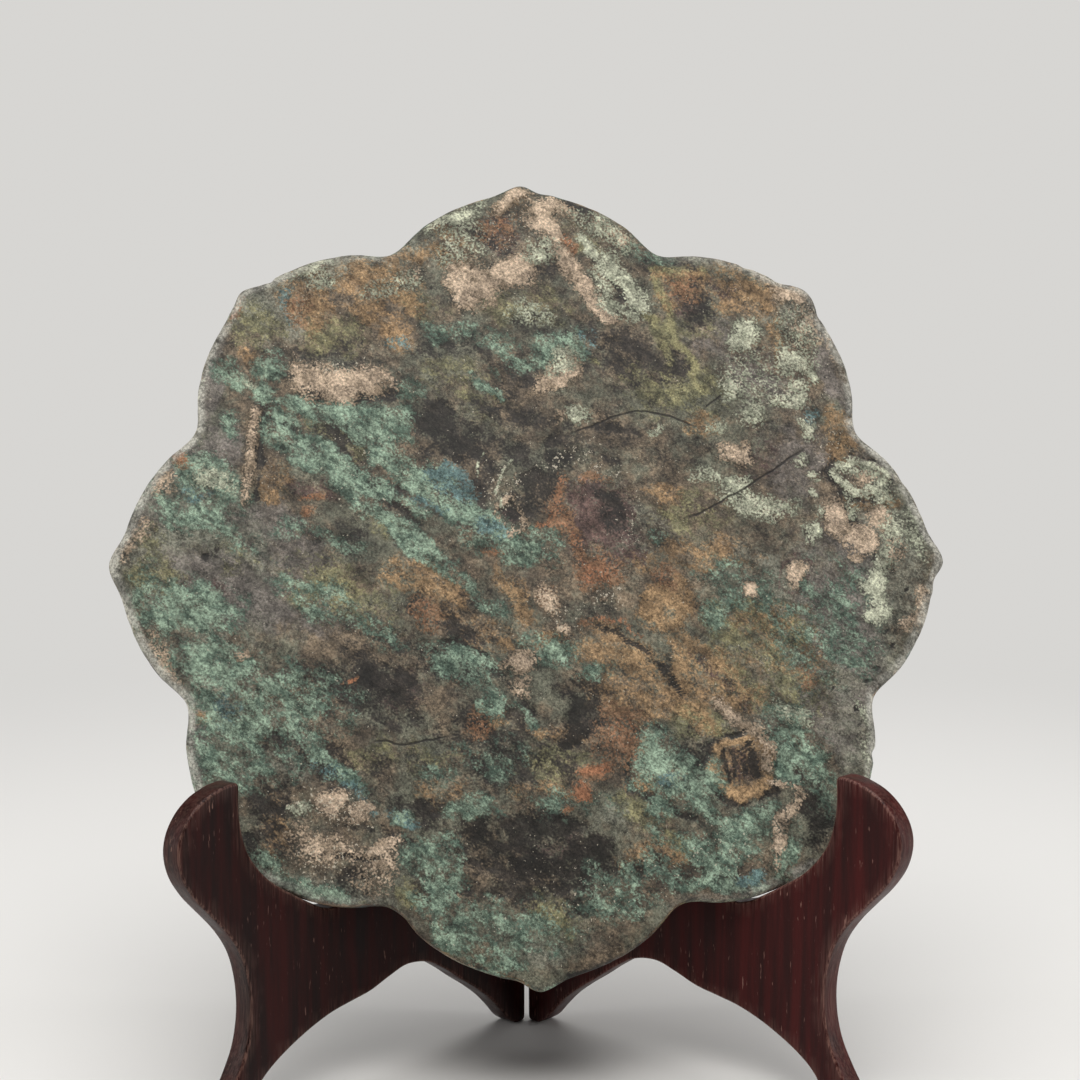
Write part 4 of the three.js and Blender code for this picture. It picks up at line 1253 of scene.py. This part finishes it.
bronze, tree, shader = new_material("patinated_bronze")
place = put(tree, "Attribute", attribute_name="flow").outputs["Vector"]
even_place = put(tree, "TexCoord").outputs["Object"]
ground_noise = noise_at(tree, place, 11.0, 5.0, 0.78)
colour = blend(tree, steps(tree, ground_noise, 0.38, 0.62), tone(BARE_TONES[0]), tone(BARE_TONES[1]))
green_noise = noise_at(tree, even_place, 24.0, 4.0, 0.7)
colour = blend(tree, steps(tree, green_noise, 0.42, 0.6, 0.0, 0.8), colour, tone(BARE_TONES[2]))
black_noise = noise_at(tree, even_place, 5.0, 4.0, 0.8)
colour = blend(tree, steps(tree, black_noise, 0.5, 0.66, 0.0, 0.85), colour, tone(BARE_TONES[3]))
roughness, proud = 0.55, 0.0
for i, (finish, about) in enumerate(FINISH_TONES.items()):
    first, second, breakup, granules, softness, size, fullness, halo, rough = about
    mask = put(tree, "Attribute", attribute_name=finish).outputs["Fac"]
    laid = place_group(tree, crust, {
        "Under": colour, "Tone": tone(first), "Second Tone": tone(second), "Mask": mask, "Place": place,
        "Even Place": even_place, "Shift": (0.37 * i, 0.11 * i, 0.23 * i), "Breakup": breakup,
        "Granules": granules, "Softness": softness, "Size": size, "Fullness": fullness, "Halo": halo,
        "Edge Tone": 0.3 if finish in ("lime", "mint", "rust") else 0.16})
    colour = laid["Color"]
    share = put(tree, "Mix", {"Factor": laid["Cover"], 3: rough})
    if isinstance(roughness, bpy.types.NodeSocket):
        tree.links.new(roughness, share.inputs[2])
    else:
        share.inputs[2].default_value = roughness
    roughness = share.outputs[0]
    proud = plus(tree, proud, times(tree, laid["Cover"], CRUST_HEIGHTS.get(finish, 0) * CRUST_BUMP))
print("laid", ", ".join(FINISH_TONES))

# %% The painted rim highlight and the white flecks
RIM_HIGHLIGHT_SHARE = 0.85
FLECK_SHARE = 0.7

# Pale grey is painted on the left and right of the rim: a painted highlight where the side lamps catch the
# bevel.
worn = put(tree, "Attribute", attribute_name="worn_rim").outputs["Fac"]
rim_highlight = times(tree, worn, steps(tree, noise_at(tree, place, 5.0, 3.0, 0.7), 0.3, 0.56))
colour = blend(tree, times(tree, rim_highlight, RIM_HIGHLIGHT_SHARE), colour, tone("aaa89e"))
specks = put(tree, "Attribute", attribute_name="specks").outputs["Fac"]
fine = place_group(tree, grain, {
    "Place": place, "Even Place": even_place, "Specks": specks,
    "Fine Depth": 0.36, "Broad Depth": 0.46, "Veins": 0.42})
colour = blend(tree, 1.0, colour, fine["Shade"], "MULTIPLY")
colour = blend(tree, times(tree, fine["Flecks"], FLECK_SHARE), colour, tone("c6bdaa"))
print("grain and flecks over", len(tree.nodes), "nodes")

# %% Cracks, and the bump over all
CRACK_SHARE = 0.85

crack_line = put(tree, "Attribute", attribute_name="crack_side").outputs["Fac"]
crack_open_here = put(tree, "Attribute", attribute_name="crack_open").outputs["Fac"]
crack_shut = steps(tree, sums(tree, "ABSOLUTE", crack_line), 0.15, 0.55, 1.0, 0.0)
crack_dark = times(tree, crack_shut, crack_open_here)
colour = blend(tree, times(tree, crack_dark, CRACK_SHARE), colour, tone("171412"))
tree.links.new(colour, shader.inputs["Base Color"])
tree.links.new(roughness, shader.inputs["Roughness"])
shader.inputs["Metallic"].default_value = 0.1
shader.inputs["Specular IOR Level"].default_value = 0.3
height_sum = plus(tree, proud, times(tree, fine["Height"], 0.9))
height_sum = sums(tree, "SUBTRACT", height_sum, times(tree, crack_dark, 0.8))
bump = put(tree, "Bump", {"Height": height_sum, "Strength": 0.6, "Distance": 0.00014})
tree.links.new(bump.outputs[0], shader.inputs["Normal"])
mirror.data.materials.append(bronze)
print("patinated bronze:", len(tree.nodes), "nodes")

# %% [markdown]
# ## Dark hardwood
# The boards are of a dense wood like rosewood, stained nearly black and rubbed with wax. Its grain runs up
# the board: long soft bands of darker and redder wood, and short fine pores that catch dust and show as
# pale ticks. The arrises are painted paler, in broken dots of the pale pore tone: partly where the wax has
# worn off, partly a painted highlight along each arris.

# %% Wood
def dark_hardwood(name, deep, red, pore, shift):
    material, tree, shader = new_material(name)
    place = put(tree, "TexCoord").outputs["Object"]
    moved = put(tree, "VectorMath", {0: place, 1: shift}, operation="ADD").outputs[0]
    stretched = put(tree, "VectorMath", {0: moved, 1: (1, 1, 0.06)}, operation="MULTIPLY").outputs[0]
    bands = put(tree, "TexNoise", {"Vector": stretched, "Scale": 260.0, "Detail": 5.0, "Roughness": 0.6})
    fine = put(tree, "TexNoise", {"Vector": stretched, "Scale": 1500.0, "Detail": 3.0, "Roughness": 0.7})
    colour = blend(tree, steps(tree, bands.outputs[0], 0.35, 0.7), tone(deep), tone(red))
    short = put(tree, "VectorMath", {0: moved, 1: (1, 1, 0.16)}, operation="MULTIPLY").outputs[0]
    ticks = put(tree, "TexNoise", {"Vector": short, "Scale": 1300.0, "Detail": 2.0, "Roughness": 0.6})
    patches = put(tree, "TexNoise", {"Vector": moved, "Scale": 70.0, "Detail": 3.0})
    in_patches = steps(tree, patches.outputs[0], 0.4, 0.65)
    pores = times(tree, steps(tree, ticks.outputs[0], 0.66, 0.74), in_patches)
    colour = blend(tree, pores, colour, tone(pore))
    # The arrises are blended in broken dots towards the pale pore tone: partly wear, partly a painted
    # highlight along each arris.
    worn = put(tree, "Attribute", attribute_name="arris_wear_and_highlight").outputs["Fac"]
    worn = times(tree, worn, steps(tree, fine.outputs[0], 0.35, 0.7))
    colour = blend(tree, times(tree, worn, 0.7), colour, tone(pore))
    tree.links.new(colour, shader.inputs["Base Color"])
    rough = steps(tree, bands.outputs[0], 0.3, 0.7, 0.32, 0.46)
    tree.links.new(plus(tree, rough, times(tree, pores, 0.3)), shader.inputs["Roughness"])
    shader.inputs["Specular IOR Level"].default_value = 0.16
    height = sums(tree, "SUBTRACT", fine.outputs[0], times(tree, pores, 0.6))
    bump = put(tree, "Bump", {"Height": height, "Strength": 0.35, "Distance": 0.00012})
    tree.links.new(bump.outputs[0], shader.inputs["Normal"])
    return material


# Both boards are one wood: the left board's darker tones are painted shade, its face being turned from the
# light.
WOODS = {  # board: (deep tone, red tone, dusty pores, where in the noise its grain is taken from)
    "left": ("170504", "300a08", "7a5c52", (0, 0, 0)),
    "right": ("290a09", "441312", "8c685e", (0.7, 0.3, 0.5)),
}
for hand, wood in WOODS.items():
    boards[hand].data.materials.append(dark_hardwood(f"dark_hardwood_{hand}", *wood))
print("wood on", [board.name for board in boards.values()])

# %% [markdown]
# ## Old brass
# The hinges were cut from sheet and screwed in long after the mirror was buried and found. Their brass has
# gone brown in cloudy patches and kept a little shine on its faces.

# %% Brass of the hinges
brass, tree, shader = new_material("old_brass")
place = put(tree, "TexCoord").outputs["Object"]
cloudy = put(tree, "TexNoise", {"Vector": place, "Scale": 220.0, "Detail": 6.0, "Roughness": 0.65})
tarnish = steps(tree, cloudy.outputs[0], 0.42, 0.62)
fine = place_group(tree, grain, {
    "Place": place, "Even Place": place, "Fine Depth": 0.15, "Broad Depth": 0.15, "Veins": 0.1})
colour = blend(tree, 1.0, blend(tree, tarnish, tone("b08f50"), tone("5c4527")), fine["Shade"], "MULTIPLY")
tree.links.new(colour, shader.inputs["Base Color"])
tree.links.new(steps(tree, tarnish, 0, 1, 0.32, 0.62), shader.inputs["Roughness"])
shader.inputs["Metallic"].default_value = 1
bump = put(tree, "Bump", {"Height": fine["Height"], "Strength": 0.3, "Distance": 0.0001})
tree.links.new(bump.outputs[0], shader.inputs["Normal"])
hinge_pieces = [node for name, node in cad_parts.items() if name.startswith("hinge_")]
for node in hinge_pieces:
    node.data.materials.clear()
    node.data.materials.append(brass)
print("brass on", len(hinge_pieces), "pieces")
